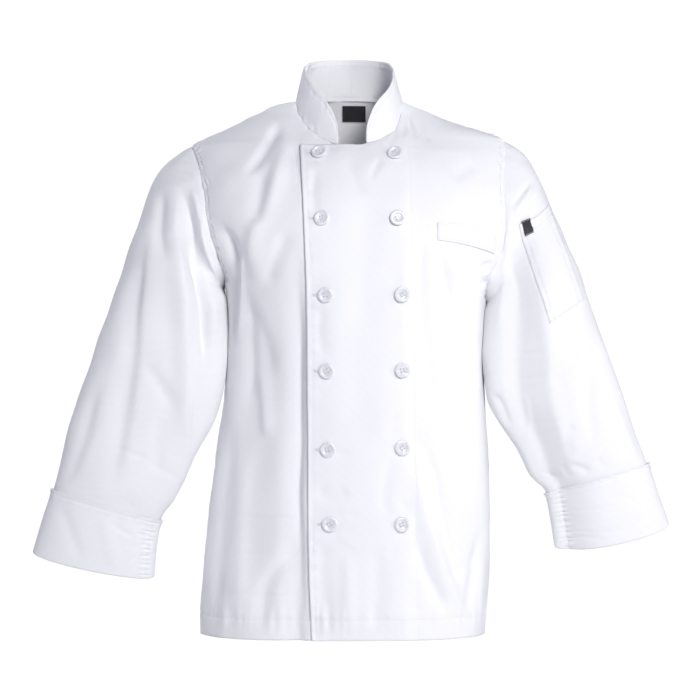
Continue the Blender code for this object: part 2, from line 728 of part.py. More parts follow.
def add_sleeve_label(collection):
    """The label lies partly on the pocket, so all of it is out at the pocket's height."""
    x, z = patch(SLEEVE_LABEL, 2, 3, 0)
    angle, along = sleeve_parameters("left", x, z)
    on_pocket = SEAM_GAP + POCKET_STAND + POCKET_WALL + LABEL_STAND
    out = WALL / 2 + on_pocket + LABEL_WALL / 2
    points, _ = on_sleeve("left", angle, along, out)
    add_cloth(collection, "sleeve_label", points, LABEL_WALL, "label_black")


def add_neck_label(collection):
    half = NECK_LABEL_HALF_WIDTH
    x = np.linspace(NECK_LABEL_MIDDLE + half, NECK_LABEL_MIDDLE - half, 4)[None, :]
    z = np.linspace(NECK_LABEL_BOTTOM, NECK_LABEL_TOP, 4)[:, None]
    x, z = x + z * 0, z + x * 0
    angle = np.pi - body_angle(x, z)
    out = WALL / 2 + SEAM_GAP + LABEL_WALL / 2 + NECK_LABEL_STAND
    points, _ = on_body(angle, z, -out)
    add_cloth(collection, "neck_label", points, LABEL_WALL, "label_black")


def button_mesh():
    mesh = bpy.data.meshes.new("button")
    profile = [(radius * MM, 0, height * MM) for radius, height in BUTTON_PROFILE]
    edges = [(i, i + 1) for i in range(len(profile) - 1)]
    mesh.from_pydata(profile, edges, [])
    mesh.materials.append(material_for("button_plastic"))
    return mesh


def add_buttons(collection):
    mesh = button_mesh()
    radius = max(row[0] for row in BUTTON_PROFILE) * MM
    for name, x, z, lean in BUTTONS:
        x, z = np.array(x * MM), np.array(z * MM)
        out = WALL / 2 + SEAM_GAP + BUTTON_STAND - BUTTON_PROFILE[-1][1] * MM
        out += abs(math.sin(math.radians(lean))) * radius
        point, normal = on_body(body_angle(x, z), z, np.array(out), lifted=True)
        obj = bpy.data.objects.new(name, mesh)
        collection.objects.link(obj)
        facing = Vector(normal).to_track_quat("Z", "Y").to_matrix().to_4x4()
        tip = Matrix.Rotation(math.radians(lean), 4, "Z")
        obj.matrix_world = Matrix.Translation(Vector(point)) @ tip @ facing
        turned = obj.modifiers.new("turned", "SCREW")
        turned.steps = BUTTON_SIDES
        turned.render_steps = BUTTON_SIDES
        turned.use_merge_vertices = True
        turned.merge_threshold = 1e-5


def main():
    for obj in list(bpy.data.objects):
        bpy.data.objects.remove(obj)
    collection = collection_for("chef_jacket")
    add_fronts(collection)
    add_back(collection)
    for name in ("left", "right"):
        add_sleeve(collection, name)
        add_cuff(collection, name)
    add_collar(collection)
    add_welt(collection)
    add_sleeve_pocket(collection)
    add_sleeve_label(collection)
    add_neck_label(collection)
    add_buttons(collection)


if __name__ == "__main__":
    main()
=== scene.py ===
"""Chef jacket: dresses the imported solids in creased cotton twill, stitching, buttons and labels.

Every piece of cloth is worked out on the same surfaces as its solid: tables in millimetres and
degrees give the form, a table of creases gives the folds, and the seams add grooves and puckers.
The front faces -Y, so the wearer's left side is at +X.
"""

import math

import bmesh
import bpy
import numpy as np
from mathutils import Matrix, Vector
from mathutils.bvhtree import BVHTree


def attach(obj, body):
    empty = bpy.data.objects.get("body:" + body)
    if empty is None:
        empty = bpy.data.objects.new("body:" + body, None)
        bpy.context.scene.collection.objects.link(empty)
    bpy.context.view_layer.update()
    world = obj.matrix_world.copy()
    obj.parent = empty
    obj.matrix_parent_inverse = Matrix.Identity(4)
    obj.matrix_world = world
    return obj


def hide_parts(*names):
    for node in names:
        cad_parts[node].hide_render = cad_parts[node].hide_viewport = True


bl_info = {
    "name": "Chef Jacket",
    "version": (1, 0, 0),
    "blender": (4, 5, 0),
    "location": "View3D > Sidebar > Jacket",
    "description": "Dresses the solids of a chef jacket in creased, stitched cotton twill",
    "category": "Add Mesh",
}

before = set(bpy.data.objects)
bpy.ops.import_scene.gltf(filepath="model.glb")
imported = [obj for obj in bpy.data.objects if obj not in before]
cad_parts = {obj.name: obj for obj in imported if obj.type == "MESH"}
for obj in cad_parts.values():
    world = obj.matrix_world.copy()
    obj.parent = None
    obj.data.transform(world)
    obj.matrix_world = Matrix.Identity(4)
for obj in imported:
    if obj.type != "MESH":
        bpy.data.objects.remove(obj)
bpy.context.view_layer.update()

MM = 0.001

# Sizes that the cloth shares with its solids
LENGTH = 766 * MM
WALL = 1.8 * MM
POCKET_WALL = 1.2 * MM
SEAM_GAP = 0.3 * MM
LAYER_GAP = 0.7 * MM
NECK_HALF_WIDTH = 76.5 * MM
NECK_DROP = 70 * MM
COLLAR_HEIGHT = 59 * MM
CUFF_LIP = 28 * MM
CUFF_STAND = 0.9 * MM

# The body: height, right, left, front, back, square, raise_back
BODY = (
    (-766, 214.5, 196, 151, 148, 2.45, 0),
    (-740, 214.5, 198, 151, 147, 2.4, 0),
    (-690, 212, 202, 150, 145, 2.3, 0),
    (-620, 204.5, 203, 148, 141, 2.3, 0),
    (-550, 197.5, 202, 146, 136, 2.25, 0),
    (-490, 189, 200, 145, 131, 2.15, 0),
    (-430, 182, 196, 147, 129, 2.1, 0),
    (-370, 177.5, 194.5, 150, 130, 2.05, 0),
    (-310, 176.3, 196, 152, 134, 2.1, 0),
    (-285, 176.8, 197.5, 152, 136, 2.2, 0),
    (-262, 179, 206, 151, 137, 2.25, 0),
    (-225, 199, 233, 147, 137, 2.3, 0),
    (-191, 218, 247, 142, 135, 2.3, 0),
    (-157, 230, 249, 133, 130, 2.2, 0),
    (-113, 232, 243, 112, 119, 2.1, 1),
    (-80, 230, 235, 86, 107, 2.0, 2),
    (-66, 228, 229.5, 71, 100, 2.0, 3),
    (-56, 210, 223, 60, 95, 2.0, 3.5),
    (-35, 165, 165, 40, 84, 2.0, 5),
    (-18, 131, 119, 23.5, 74, 2.0, 6.5),
    (-4, 102, 85, 10, 64.5, 2.0, 7.5),
    (0, 76.5, 76.5, 5, 62, 2.0, 8),
)
# sign, top, bottom, front degrees, back degrees of the armhole, then the neckline's square
SIDES = {
    "right": (-1, -64, -262, 30, 26, 1.8),
    "left": (1, -56, -285, 30, 27, 2.5),
}
# The left front's front edge: height, x
FRONT_EDGE = (
    (-766, -51),
    (-720, -53),
    (-600, -56),
    (-390, -56.5),
    (-300, -57.5),
    (-207, -61),
    (-123, -65.5),
    (-71, -69),
)
UNDER_EDGE_X = 70 * MM  # the right front's hidden edge
TOP_CORNER = -71 * MM  # height of the left front's upper corner
UNDER_CORNER = -74 * MM  # height of the right front's
HEM_RISE = 4 * MM  # the hem is higher in front
HEM_REACH = 90 * MM  # the rows above the hem follow it up to here
EDGE_LIFT = 1.4 * MM  # how far the left front's edge stands off by itself
OVERLAP = (75 * MM, 97 * MM)  # x over which the left front comes down off the right one
OVERLAP_TOP = (-66 * MM, -40 * MM)  # heights over which it does
FREE_EDGE = 22 * MM  # the width that stands off along the edge
NECK_START = 12 * MM  # from the middle, where the neckline starts to rise
NECK_FREE = 32 * MM  # from the middle, where it is wholly its own line
LAST_ROW = 2.995  # a front stops just short of its neck end, where its rows would meet

# The sleeves: outer_x, outer_z, inner_x, inner_z, depth, forward, droop
SLEEVES = {
    "right": (
        (297.5, -157, 181, -273, 66, 4, 0),
        (319, -223, 175.5, -290, 66, 18, 0),
        (344, -298, 173.5, -352, 56, 24, 0),
        (371.5, -382, 183.5, -434, 46, 33, 0),
        (400, -468, 223.5, -518, 42, 33, 0),
        (415.5, -528, 252, -577, 38, 32, 0),
        (423.5, -560, 271, -604, 35, 31, 0),
        (438, -606, 279, -644, 34, 32, 0),
        (450.5, -648.5, 282, -683, 31, 33, 6),
    ),
    "left": (
        (293, -157, 200.5, -294, 67, 4, 0),
        (326, -235, 194.5, -312, 67, 20, 0),
        (350, -308, 190.5, -366, 57, 30, 0),
        (372.5, -372, 199, -427, 49, 34, 0),
        (399, -446, 241, -503, 43, 34, 0),
        (413, -488, 261, -541, 39, 32, 0),
        (427, -523, 284, -565, 36, 30, 0),
        (442, -568, 292, -603, 35, 30, 4),
        (456, -608, 298, -641, 32, 32, 10),
    ),
}
CUFF_TOP = 7  # in rows of the table above, as the next one
CUFF_BOTTOM = 9
ROW_LENGTH = 46 * MM  # from one of these rows to the next
SLEEVE_END = 0.07  # share of a row by which a sleeve ends inside its cuff
# How a sleeve leaves its armhole: down from level, how far straight, and swelling in front
CROWN_SLOPE = math.radians(23)
CROWN_REACH = 1.3
CROWN_BULGE = 0.35

# The buttons: node, x, z, lean in degrees
BUTTONS = (
    ("button_right_1", -42, -85, -6),
    ("button_right_2", -37.5, -178, 0),
    ("button_right_3", -32, -284, 0),
    ("button_right_4", -30.5, -389, 0),
    ("button_right_5", -29, -498, 0),
    ("button_right_6", -26.5, -601, 0),
    ("button_left_1", 64, -86, -5),
    ("button_left_2", 67, -178, 4),
    ("button_left_3", 72, -283, -4),
    ("button_left_4", 73, -388, 0),
    ("button_left_5", 73, -496, 0),
    ("button_left_6", 72.5, -602, 0),
)
# The welt of the breast pocket: x, top, bottom
WELT = (
    (123, -183, -207),
    (146, -184, -210),
    (168, -186.5, -214),
    (188, -191.5, -219),
    (205, -197.5, -223.5),
)
# Corners of the pieces on the left sleeve: x, z
SLEEVE_POCKET = {
    "top_inner": (240, -182),
    "top_outer": (285.5, -152),
    "bottom_inner": (283, -323),
    "bottom_outer": (333, -289),
}
SLEEVE_POCKET_BOW = 6 * MM  # its mouth is lower in the middle
POCKET_SWELL = 1.6 * MM  # its middle stands off the sleeve
# In millimetres: its size, and its seams' distance from the sides and from the mouth
POCKET_WIDTH = 62
POCKET_HEIGHT = 150
POCKET_STITCH = 8
POCKET_MOUTH = 13
POCKET_GROOVE = 0.35 * MM
WELT_STAND = 0.25 * MM
WELT_GAPE = 0.9 * MM
SLEEVE_LABEL = {
    "top_inner": (243, -178),
    "top_outer": (256, -173),
    "bottom_inner": (250, -199),
    "bottom_outer": (263, -193),
}
LABEL_THICKNESS = 0.7 * MM
NECK_LABEL_HALF_WIDTH = 17.5 * MM
NECK_LABEL_MIDDLE = 7.5 * MM
NECK_LABEL_TOP = -5.5 * MM
NECK_LABEL_BOTTOM = -27 * MM
# The collar: where it ends on the neckline, its rounded corners, then degrees, lean
COLLAR_END_RIGHT = -15.6 * MM
COLLAR_END_LEFT = 24.8 * MM
COLLAR_CORNER = 46 * MM
COLLAR_END_HEIGHT = 12 * MM
COLLAR_INSET = 0.7 * MM
COLLAR_LEAN = ((0, 11), (60, 13), (90, 19), (130, 15), (180, 10))

# Folds in the cloth: the piece and the face they are on, then a row for each with the widths on
# the two sides of its line (left then right, going down it as seen from the front), the depth
# (negative is a trough) and the line's points as x, z.
CREASES = {
    ("front_right", "front"): (
        (7, 8, -5.2, -97, -30, -121, -80, -147, -117),
        (11, 13, 4.8, -87, -38, -94, -85, -112, -152, -135, -214, -126, -280),
        (12, 13, -5.0, -119, -96, -125, -138, -129, -191),
        (10, 12, -4.0, -82, -191, -101, -230, -118, -274),
        (9, 9, -10.9, -193, -178, -171, -202, -162, -243, -165, -304, -171, -363),
        (3.5, 4, 4.3, -151, -216, -151, -277, -161, -354),
        (8, 9, -4.8, -139, -270, -143, -353, -151, -443),
        (6, 5, -8.1, -78, -69, -71, -96, -65, -132),
        (18, 12, -9.0, -62, -200, -66, -330, -70, -470, -74, -560, -73, -700, -70, -900),
        (40, 46, -12.0, -122, -300, -130, -400, -138, -520, -140, -620, -134, -720),
        (8, 7, -5.0, -61, -291, -64, -402, -65, -485, -71, -554, -62, -651, -57, -765),
        (9, 12, 4.5, -128, -382, -124, -429, -118, -488),
        (11, 13, -5.4, -65, -613, -92, -651, -118, -696, -121, -762),
        (8, 12, -6.4, -168, -429, -180, -540, -187, -651, -193, -762),
        (12, 10, 3.2, -151, -499, -157, -610, -151, -737),
        (1.6, 2.2, -1.0, -187, -594, -126, -595, -62, -593),
        (1.6, 2.2, -0.8, -190, -647, -126, -646, -61, -647),
        (1.6, 2.2, -0.8, -193, -700, -126, -702, -60, -700),
        (1.6, 2.6, -0.6, -146, -429, -101, -432, -64, -428),
        (12, 10, -2.6, -140, -291, -121, -346, -112, -402),
        (16, 12, -4.8, -20, -150, -16, -300, -22, -500),
        (14, 14, -4.2, -196, -330, -190, -450, -200, -600),
    ),
    ("front_left", "front"): (
        (8.3, 10.6, -2.1, -7, -94, 7, -119, 19, -147),
        (4.7, 5.9, -1.9, 47, -92, 37, -105, 30, -125),
        (2.2, 2.6, -1.6, 76, -28, 79, -43, 75, -61),
        (2.4, 3, -1.7, 86, -22, 89, -42, 93, -64),
        (3.5, 4.7, -1.4, 95, -28, 104, -47, 116, -67),
        (2.4, 3, -1.4, 66, -42, 64, -58, 54, -78),
        (5.9, 8.3, -1.9, -46, -105, -50, -139, -47, -173),
        (7.1, 9.4, -1.6, -37, -298, -40, -332, -32, -377),
        (10.6, 9.4, -3.8, 104, -197, 97, -277, 97, -353),
        (9.4, 9.4, 3.1, 113, -216, 118, -291, 129, -429, 137, -484),
        (17.7, 7.1, -5.5, 120, -211, 134, -258, 149, -327, 159, -429, 165, -512),
        (13, 14.2, 5.0, 156, -222, 172, -277, 178, -360, 178, -471),
        (3, 3.5, -3.7, 184, -247, 194, -240, 206, -238),
        (3, 3, 2.3, 185, -256, 195, -252, 207, -249),
        (4.1, 4.7, -3.5, 183, -273, 192, -263, 205, -259),
        (9.4, 10.6, 2.6, 77, -230, 76, -284, 73, -353),
        (23.6, 28.3, -3.3, 19, -125, 24, -236, 15, -346, 12, -526),
        (7.375, 8.875, -1.5, 65, -446, 59, -468, 58, -486),
        (7.375, 8.875, -2.1, 62, -507, 50, -543, 48, -570, 61, -598),
        (4.375, 5.875, -1.2, 71, -567, 76, -579, 82, -590),
        (11.8, 7.1, -4.0, 87, -484, 104, -498, 120, -532, 131, -590, 147, -653, 163, -709),
        (14.2, 7.1, 6.4, 91, -515, 104, -579, 122, -637, 140, -685, 160, -736),
        (7.1, 9.4, -5.0, 94, -623, 104, -662, 122, -700, 134, -728),
        (8.3, 7.1, -5.2, 187, -609, 181, -650, 173, -695, 167, -731),
        (4.7, 5.9, 2.7, 190, -650, 187, -706, 184, -753),
        (8.875, 11.75, -2.2, -48, -551, -26, -565, 4, -556),
        (4.375, 5.875, -0.9, -17, -595, -3, -588, 15, -590),
        (5.875, 5.875, 0.8, -18, -615, -1, -623, 18, -637),
        (10.375, 11.75, -2.2, -32, -623, -36, -671, -32, -731),
        (9.4, 10.6, 2.6, -4, -634, 0, -692, -1, -756),
        (13, 11.8, -2.6, 36, -623, 40, -692, 35, -756),
        (5.875, 8.875, -1.4, 84, -612, 71, -623, 54, -650),
        (4.7, 5.9, -1.2, -43, -505, -15, -501, 4, -509),
        (9.4, 10.6, -1.9, 140, -291, 145, -374, 142, -471, 151, -567),
        (9.4, 10.6, -1.8, 142, -118, 162, -108, 181, -94),
        (7.1, 8.3, -1.9, 126, -681, 154, -670, 190, -645),
    ),
    ("sleeve_right", "front"): (
        (7, 9, -16.1, -238, -121, -231, -158, -222, -212, -211, -266, -204, -332, -202, -403),
        (15, 5, 8.8, -246, -126, -245, -178, -239, -232, -231, -289, -229, -403, -228, -537),
        (3.5, 3, 4.6, -206, -166, -209, -189, -202, -220, -188, -257),
        (4, 3, 2.2, -224, -132, -215, -158, -211, -181),
        (1.8, 2.2, -2.1, -236, -77, -229, -81, -219, -91),
        (1.8, 2.4, -1.8, -241, -85, -231, -89, -221, -101),
        (1.8, 2, -1.6, -231, -71, -224, -75, -216, -82),
        (2.4, 3, -1.4, -246, -98, -235, -104, -222, -118),
        (18, 7, -6.4, -289, -183, -299, -269, -306, -369, -318, -460, -337, -568),
        (9, 8, -4.8, -265, -126, -269, -189, -258, -235),
        (7, 9, -2.6, -289, -377, -269, -408, -245, -445),
        (7, 6, 1.2, -272, -374, -255, -397, -238, -425),
        (11, 10, -2.6, -262, -453, -272, -497, -269, -542),
        (3.2, 4, -1.2, -283, -525, -265, -531, -243, -542),
        (3, 4, -1.4, -335, -500, -312, -505, -283, -517),
        (5, 6, 4.1, -192, -283, -196, -332, -204, -386),
        (9, 8, -3.2, -355, -403, -377, -488, -403, -556),
        (10, 9, -2.6, -212, -431, -224, -468, -232, -505),
    ),
    ("sleeve_left", "front"): (
        (18, 30, -18.0, 238, -170, 234, -290, 235, -360, 240, -430, 268, -503, 296, -590, 330, -730),
        (2.4, 3.4, -2.2, 260, -119, 244, -140, 228, -157),
        (4.5, 4, 3.0, 264, -123, 251, -144, 234, -166),
        (4, 6, 3.5, 223, -167, 224, -218, 216, -289, 208, -346),
        (7, 15, 4.0, 262, -235, 276, -332, 284, -420, 304, -490, 328, -556),
        (4, 5, -2.2, 312, -522, 326, -526, 343, -536),
        (4.5, 6, -1.6, 349, -512, 357, -520, 366, -533),
        (4, 5, -1.7, 299, -523, 306, -532, 315, -546),
        (9, 8, -2.9, 282, -411, 302, -391, 330, -363),
        (7, 8, -2.6, 316, -459, 308, -488, 316, -516),
        (1.6, 2.2, -0.9, 225, -367, 257, -366, 288, -363),
        (1.6, 2.2, -0.8, 223, -405, 254, -403, 288, -398),
        (1.6, 2.4, -1.0, 231, -471, 271, -466, 308, -456),
        (3, 4.5, -4.6, 206, -420, 217, -445, 228, -473),
        (4, 4, 2.4, 245, -420, 251, -459, 248, -502),
        (3.4, 4, 1.9, 373, -420, 393, -473, 413, -522),
        (12, 10, -3.5, 356, -332, 339, -431, 350, -505),
        (4, 5, -1.6, 231, -198, 225, -235, 230, -278),
    ),
    ("cuff_right", "front"): (
        (10, 9, -2.0, -413, -574, -396, -617, -378, -663),
        (3, 4, -1.6, -338, -603, -324, -617, -304, -626),
        (9, 10, 1.6, -350, -591, -341, -631, -330, -677),
        (2.4, 3, -1.6, -316, -643, -296, -637, -276, -629),
        (2.4, 3, -1.6, -313, -663, -293, -654, -277, -649),
        (2.2, 3, -1.3, -307, -620, -290, -623, -274, -620),
    ),
    ("cuff_left", "front"): (
        (10, 30, -13.0, 292, -520, 300, -580, 308, -640, 314, -700),
        (2.2, 2.8, -0.4, 290, -590, 344, -587, 427, -571),
        (2.2, 2.8, -0.5, 296, -619, 358, -619, 437, -596),
        (3, 4, -1.2, 299, -637, 330, -626, 367, -631),
        (5, 6, -1.6, 427, -574, 433, -603, 424, -624),
        (4, 5, -1.2, 370, -570, 390, -569, 407, -574),
    ),
    ("back", "back"): (
        (22, 14, -9.0, -150, -120, -118, -240, -96, -400, -92, -520),
        (13, 20, 5.0, -178, -150, -150, -260, -132, -400),
        (12, 9, -4.5, -196, -200, -164, -250, -140, -330),
        (13, 22, -8.0, 148, -110, 112, -250, 100, -390, 90, -470),
        (18, 12, 4.6, 182, -150, 152, -270, 138, -400),
        (9, 12, -5.0, 205, -220, 170, -262, 140, -340),
        (26, 22, 5.5, -34, -420, -18, -560, -24, -700),
        (12, 17, -6.0, 14, -430, 26, -560, 30, -745),
        (15, 12, -5.0, -62, -480, -66, -600, -60, -745),
        (18, 14, -8.5, 148, -450, 158, -600, 164, -745),
        (12, 18, 4.0, 118, -520, 116, -640, 120, -730),
        (14, 18, -8.5, -144, -480, -158, -610, -164, -745),
        (18, 12, 3.8, -112, -560, -116, -660, -112, -740),
        (14, 10, -3.0, -60, -40, -70, -110, -66, -200),
        (10, 14, -3.0, 50, -38, 62, -120, 54, -210),
        (10, 14, -2.4, -40, -64, 5, -72, 52, -62),
        (12, 16, -3.0, -120, -360, -40, -385, 60, -370),
        (1.6, 2.2, -0.7, -150, -604, 0, -606, 150, -603),
        (1.6, 2.2, -0.7, -150, -668, 0, -669, 150, -667),
    ),
    ("sleeve_right", "back"): (
        (10, 20, -10.0, -218, -330, -262, -372, -312, -400, -356, -408),
        (14, 9, 5.0, -226, -366, -272, -404, -330, -430),
        (9, 13, -6.0, -214, -400, -262, -436, -320, -452),
        (16, 12, -8.0, -292, -190, -316, -280, -344, -370),
        (10, 10, -5.0, -240, -200, -232, -260, -236, -330),
        (13, 16, -5.0, -330, -470, -352, -530, -372, -590),
        (9, 10, 3.0, -300, -470, -316, -540, -330, -590),
    ),
    ("sleeve_left", "back"): (
        (20, 10, -10.0, 226, -350, 276, -384, 330, -404, 372, -406),
        (9, 14, 5.0, 232, -388, 284, -414, 344, -430),
        (13, 9, -6.0, 250, -430, 300, -448, 350, -452),
        (12, 16, -8.0, 288, -180, 314, -270, 346, -352),
        (10, 10, -5.0, 238, -210, 234, -270, 240, -330),
        (16, 12, -5.0, 330, -450, 356, -500, 378, -550),
    ),
    ("cuff_right", "back"): (
        (12, 16, -3.0, -330, -610, -346, -640, -352, -670),
    ),
    ("cuff_left", "back"): (
        (16, 12, -3.0, 336, -570, 350, -600, 356, -630),
    ),
}

# Where the sewing runs on each piece. A row gives the line, the groove that the thread pulls into
# the cloth and its width, then the puckers beside it: their height, spacing and reach.
SEAMS = {
    # line, groove, width, pucker, spacing, reach
    "front_left": (
        ("edge_stitch", 0.60, 2.0, 0.80, 9, 8),
        ("top_stitch", 0.60, 2.0, 0.65, 9, 8),
        ("hem_stitch", 0.80, 2.4, 1.50, 8, 16),
        ("facing", 0.45, 2.2, 0.40, 11, 12),
        ("armhole", 1.00, 3.2, 0.50, 12, 12),
        ("armhole_stitch", 0.90, 2.0, 1.30, 8, 6),
        ("shoulder", 0.50, 2.6, 0.30, 11, 9),
        ("shoulder_stitch", 0.35, 2.0, 0.30, 9, 8),
        ("side", 0.80, 3.0, 0.60, 12, 12),
        ("neck", 0.50, 2.6, 0.60, 9, 14),
    ),
    "front_right": (
        ("hem_stitch", 0.80, 2.4, 1.50, 8, 16),
        ("armhole", 1.00, 3.2, 0.50, 12, 12),
        ("armhole_stitch", 0.90, 2.0, 1.30, 8, 6),
        ("shoulder", 0.50, 2.6, 0.30, 11, 9),
        ("shoulder_stitch", 0.35, 2.0, 0.30, 9, 8),
        ("side", 0.80, 3.0, 0.60, 12, 12),
        ("neck", 0.50, 2.6, 0.40, 9, 12),
    ),
    "back": (
        ("hem_stitch", 0.80, 2.4, 1.50, 8, 16),
        ("armhole_left", 1.00, 3.2, 0.50, 12, 12),
        ("armhole_right", 1.00, 3.2, 0.50, 12, 12),
        ("armhole_stitch_left", 0.90, 2.0, 1.80, 8, 8),
        ("armhole_stitch_right", 0.90, 2.0, 1.80, 8, 8),
        ("shoulder_left", 0.50, 2.6, 0.30, 11, 9),
        ("shoulder_right", 0.50, 2.6, 0.30, 11, 9),
        ("side_left", 0.80, 3.0, 0.60, 12, 12),
        ("side_right", 0.80, 3.0, 0.60, 12, 12),
        ("neck", 0.50, 2.6, 0.40, 9, 12),
    ),
    "sleeve_left": (
        ("head", 0.60, 3.0, 0.90, 11, 20),
        ("underarm", 0.60, 2.4, 0.50, 10, 12),
    ),
    "sleeve_right": (
        ("head", 0.60, 3.0, 0.90, 11, 20),
        ("underarm", 0.60, 2.4, 0.50, 10, 12),
    ),
    "cuff_left": (
        ("cuff_stitch", 0.90, 2.4, 0.60, 8, 9),
        ("cuff_seam", 1.90, 2.0, 1.30, 7, 8),
    ),
    "cuff_right": (
        ("cuff_stitch", 0.90, 2.4, 0.60, 8, 9),
        ("cuff_seam", 1.90, 2.0, 1.30, 7, 8),
    ),
}
# These are drawn up in close and even pleats.
PLEATED = ("cuff_seam", "armhole_stitch")
# Words in the names of the lines that carry visible stitches, on the outer face
STITCHED = ("stitch", "facing", "underarm")
# The facing's seam on the left front: height, x
FACING = ((-766, 97), (-600, 94), (-350, 90), (-120, 86), (-70, 84))
EDGE_STITCH = 7 * MM
TOP_STITCH = 7 * MM
HEM_STITCH = 29 * MM
ARMHOLE_STITCH = 7 * MM
SIDE_RADIUS = 160 * MM  # of the body's surface beside an armhole
SHOULDER_STITCH = 7 * MM
CUFF_STITCH = 5 * MM
UNDERARM_ANGLE = math.radians(202)
CUFF_SEAM_ANGLE = math.radians(150)
STITCH_STAND = 0.12 * MM  # the thread's middle above the cloth
STITCH_SHARE = 0.8  # a stitch's length as a share of the pitch
STITCH_JITTER = 0.06  # radians that a stitch may turn off its line
CROSS_STITCH = 2.6 * MM  # length of the stitches across a buttonhole's edges
WAVE_SCALE = 0.3142  # of a wave texture with its bands one unit apart
# What a sheet is finished in: material, slot, and the pitch of its stitches if not the usual one
TWILL = ("white_cotton_twill", "white_twill", None)
LABEL_TAPE = ("black_woven_label", "label_black", 2 * MM)

SLEEVE_TUCK = 1.6 * MM  # how far a sleeve starts below and inside the edge of its armhole
COLLAR_TUCK = 1.2 * MM
COLLAR_STITCH = 8 * MM
COLLAR_DIP = 7.0 * MM  # the upper edge is lower at the sides of the neck
DIP_MIDDLE = 66  # degrees round the neck, as the next one
DIP_REACH = 36
COLLAR_HANGER = (-30 * MM, 4 * MM, 0.74)  # the sewn patch inside the back: from x to x, height
CUFF_FLARE = 2.2 * MM  # how far a cuff's upper edge stands off
CUFF_FLARE_ROWS = 0.18  # and over how much of its height it comes back
BUTTONHOLE = (-17, 4)  # from x to x beside the button's middle
BUTTONHOLE_HALF = 0.9 * MM  # from a buttonhole's middle to each row of stitches
BUTTONHOLE_PITCH = 0.8 * MM
# A button's turned profile, from the middle of its face round to its back: radius, height
BUTTON_PROFILE = (
    (0, 0.35),
    (5.6, 0.35),
    (6.3, 0.75),
    (7.0, 1.35),
    (7.9, 1.7),
    (9.3, 1.65),
    (10.3, 1.15),
    (10.9, 0.35),
    (10.9, -0.4),
    (10.3, -1.1),
    (9.0, -1.6),
    (6.0, -1.7),
    (0, -1.7),
)
BUTTON_LEVEL = 0.45  # share of the cloth's slope that a button does not follow
BUTTON_STAND = 0.35 * MM  # the length of the thread under a button
STRAND_STEP = 0.42 * MM
STRAND_RADIUS = 0.34 * MM
BUTTON_SIDES = 40
BUTTON_RADIUS = 10.9 * MM
BUTTON_FLOOR = 0.35 * MM
HOLE_SPACING = 4.2 * MM
HOLE_RADIUS = 1.05 * MM
FLOOR_HEIGHT = -1.36
FLOOR_HALF = 2.8
MIDDLE_HEIGHT = -0.36  # of the jacket's middle, which the lights and the camera look at
# The soft lights in metres: name, place, size
LIGHTS = (
    ("key", (3.1, -1.0, 0.25), 1.2),
    ("fill", (-3.1, -1.0, 0.25), 1.2),
    ("front", (1.0, -3.0, 0.95), 0.8),
    ("back", (-2.1, 2.7, 1.3), 1.6),
)
CAMERA_PLACE = (0.0015, -3.2, MIDDLE_HEIGHT)
CAMERA_LENS = 113.5

# How finely the cloth is divided
FRONT_COLUMNS = 150
EDGE_COLUMNS = 34  # of a front's columns, those under its straight upper edge
BACK_COLUMNS = 150
DENSE_SIDE = 1.4  # how much closer a front's columns are at its side
DENSE_ENDS = 0.6  # and the back's at both sides
PANEL_ROWS = (158, 80, 32)  # side seam, armhole, shoulder seam
SLEEVE_COLUMNS = 112
CROWN_ROWS = 56
ARM_ROWS = 170
CUFF_ROWS = 104
COLLAR_COLUMNS = 230
COLLAR_ROWS = 30
TAPER = 0.24  # share of a crease's length over which it fades at each end
CREASE_REACH = 2.6  # how many of its widths away a crease is still worked out
ROUNDED_STEP = 10  # millimetres between the points of a crease's line
HOLD = 13 * MM  # creases fade this near to a neck or armhole seam
# The slight swells with no order in the cloth: their size and height
BODY_SWELLS = (80 * MM, 0.7 * MM)
SLEEVE_SWELLS = (70 * MM, 0.8 * MM)
COLLAR_SWELLS = (60 * MM, 0.9 * MM)
COVERED = 14 * MM  # the right front takes the left one's creases from here behind its edge
NEAR_BODY = 15 * MM  # how far from a sleeve the body's cloth is looked for
CLEAR_OF_BODY = 0.3 * MM  # kept between a sleeve's inner side and the body's cloth


def linear(colour):
    """Linear red, green and blue of an sRGB colour written as six hexadecimal digits."""
    parts = [int(colour[i : i + 2], 16) / 255 for i in (0, 2, 4)]
    return tuple(c / 12.92 if c <= 0.04045 else ((c + 0.055) / 1.055) ** 2.4 for c in parts)


def length_setting(name, description, default, low, high):
    """A length in metres, given in millimetres."""
    return bpy.props.FloatProperty(
        name=name,
        description=description,
        default=default * MM,
        min=low * MM,
        max=high * MM,
        subtype="DISTANCE",
        unit="LENGTH",
    )


def share_setting(name, description, high):
    """A share of what the tables say, as they say it by default."""
    return bpy.props.FloatProperty(
        name=name, description=description, default=1.0, min=0.0, max=high, subtype="FACTOR"
    )


def colour_setting(name, description, code):
    """A colour, given as six hexadecimal digits of sRGB."""
    return bpy.props.FloatVectorProperty(
        name=name,
        description=description,
        default=linear(code),
        min=0.0,
        max=1.0,
        size=3,
        subtype="COLOR",
    )


def power_setting(name, description, watts):
    """The power of a light."""
    return bpy.props.FloatProperty(
        name=name, description=description, default=watts, min=0.0, unit="POWER"
    )


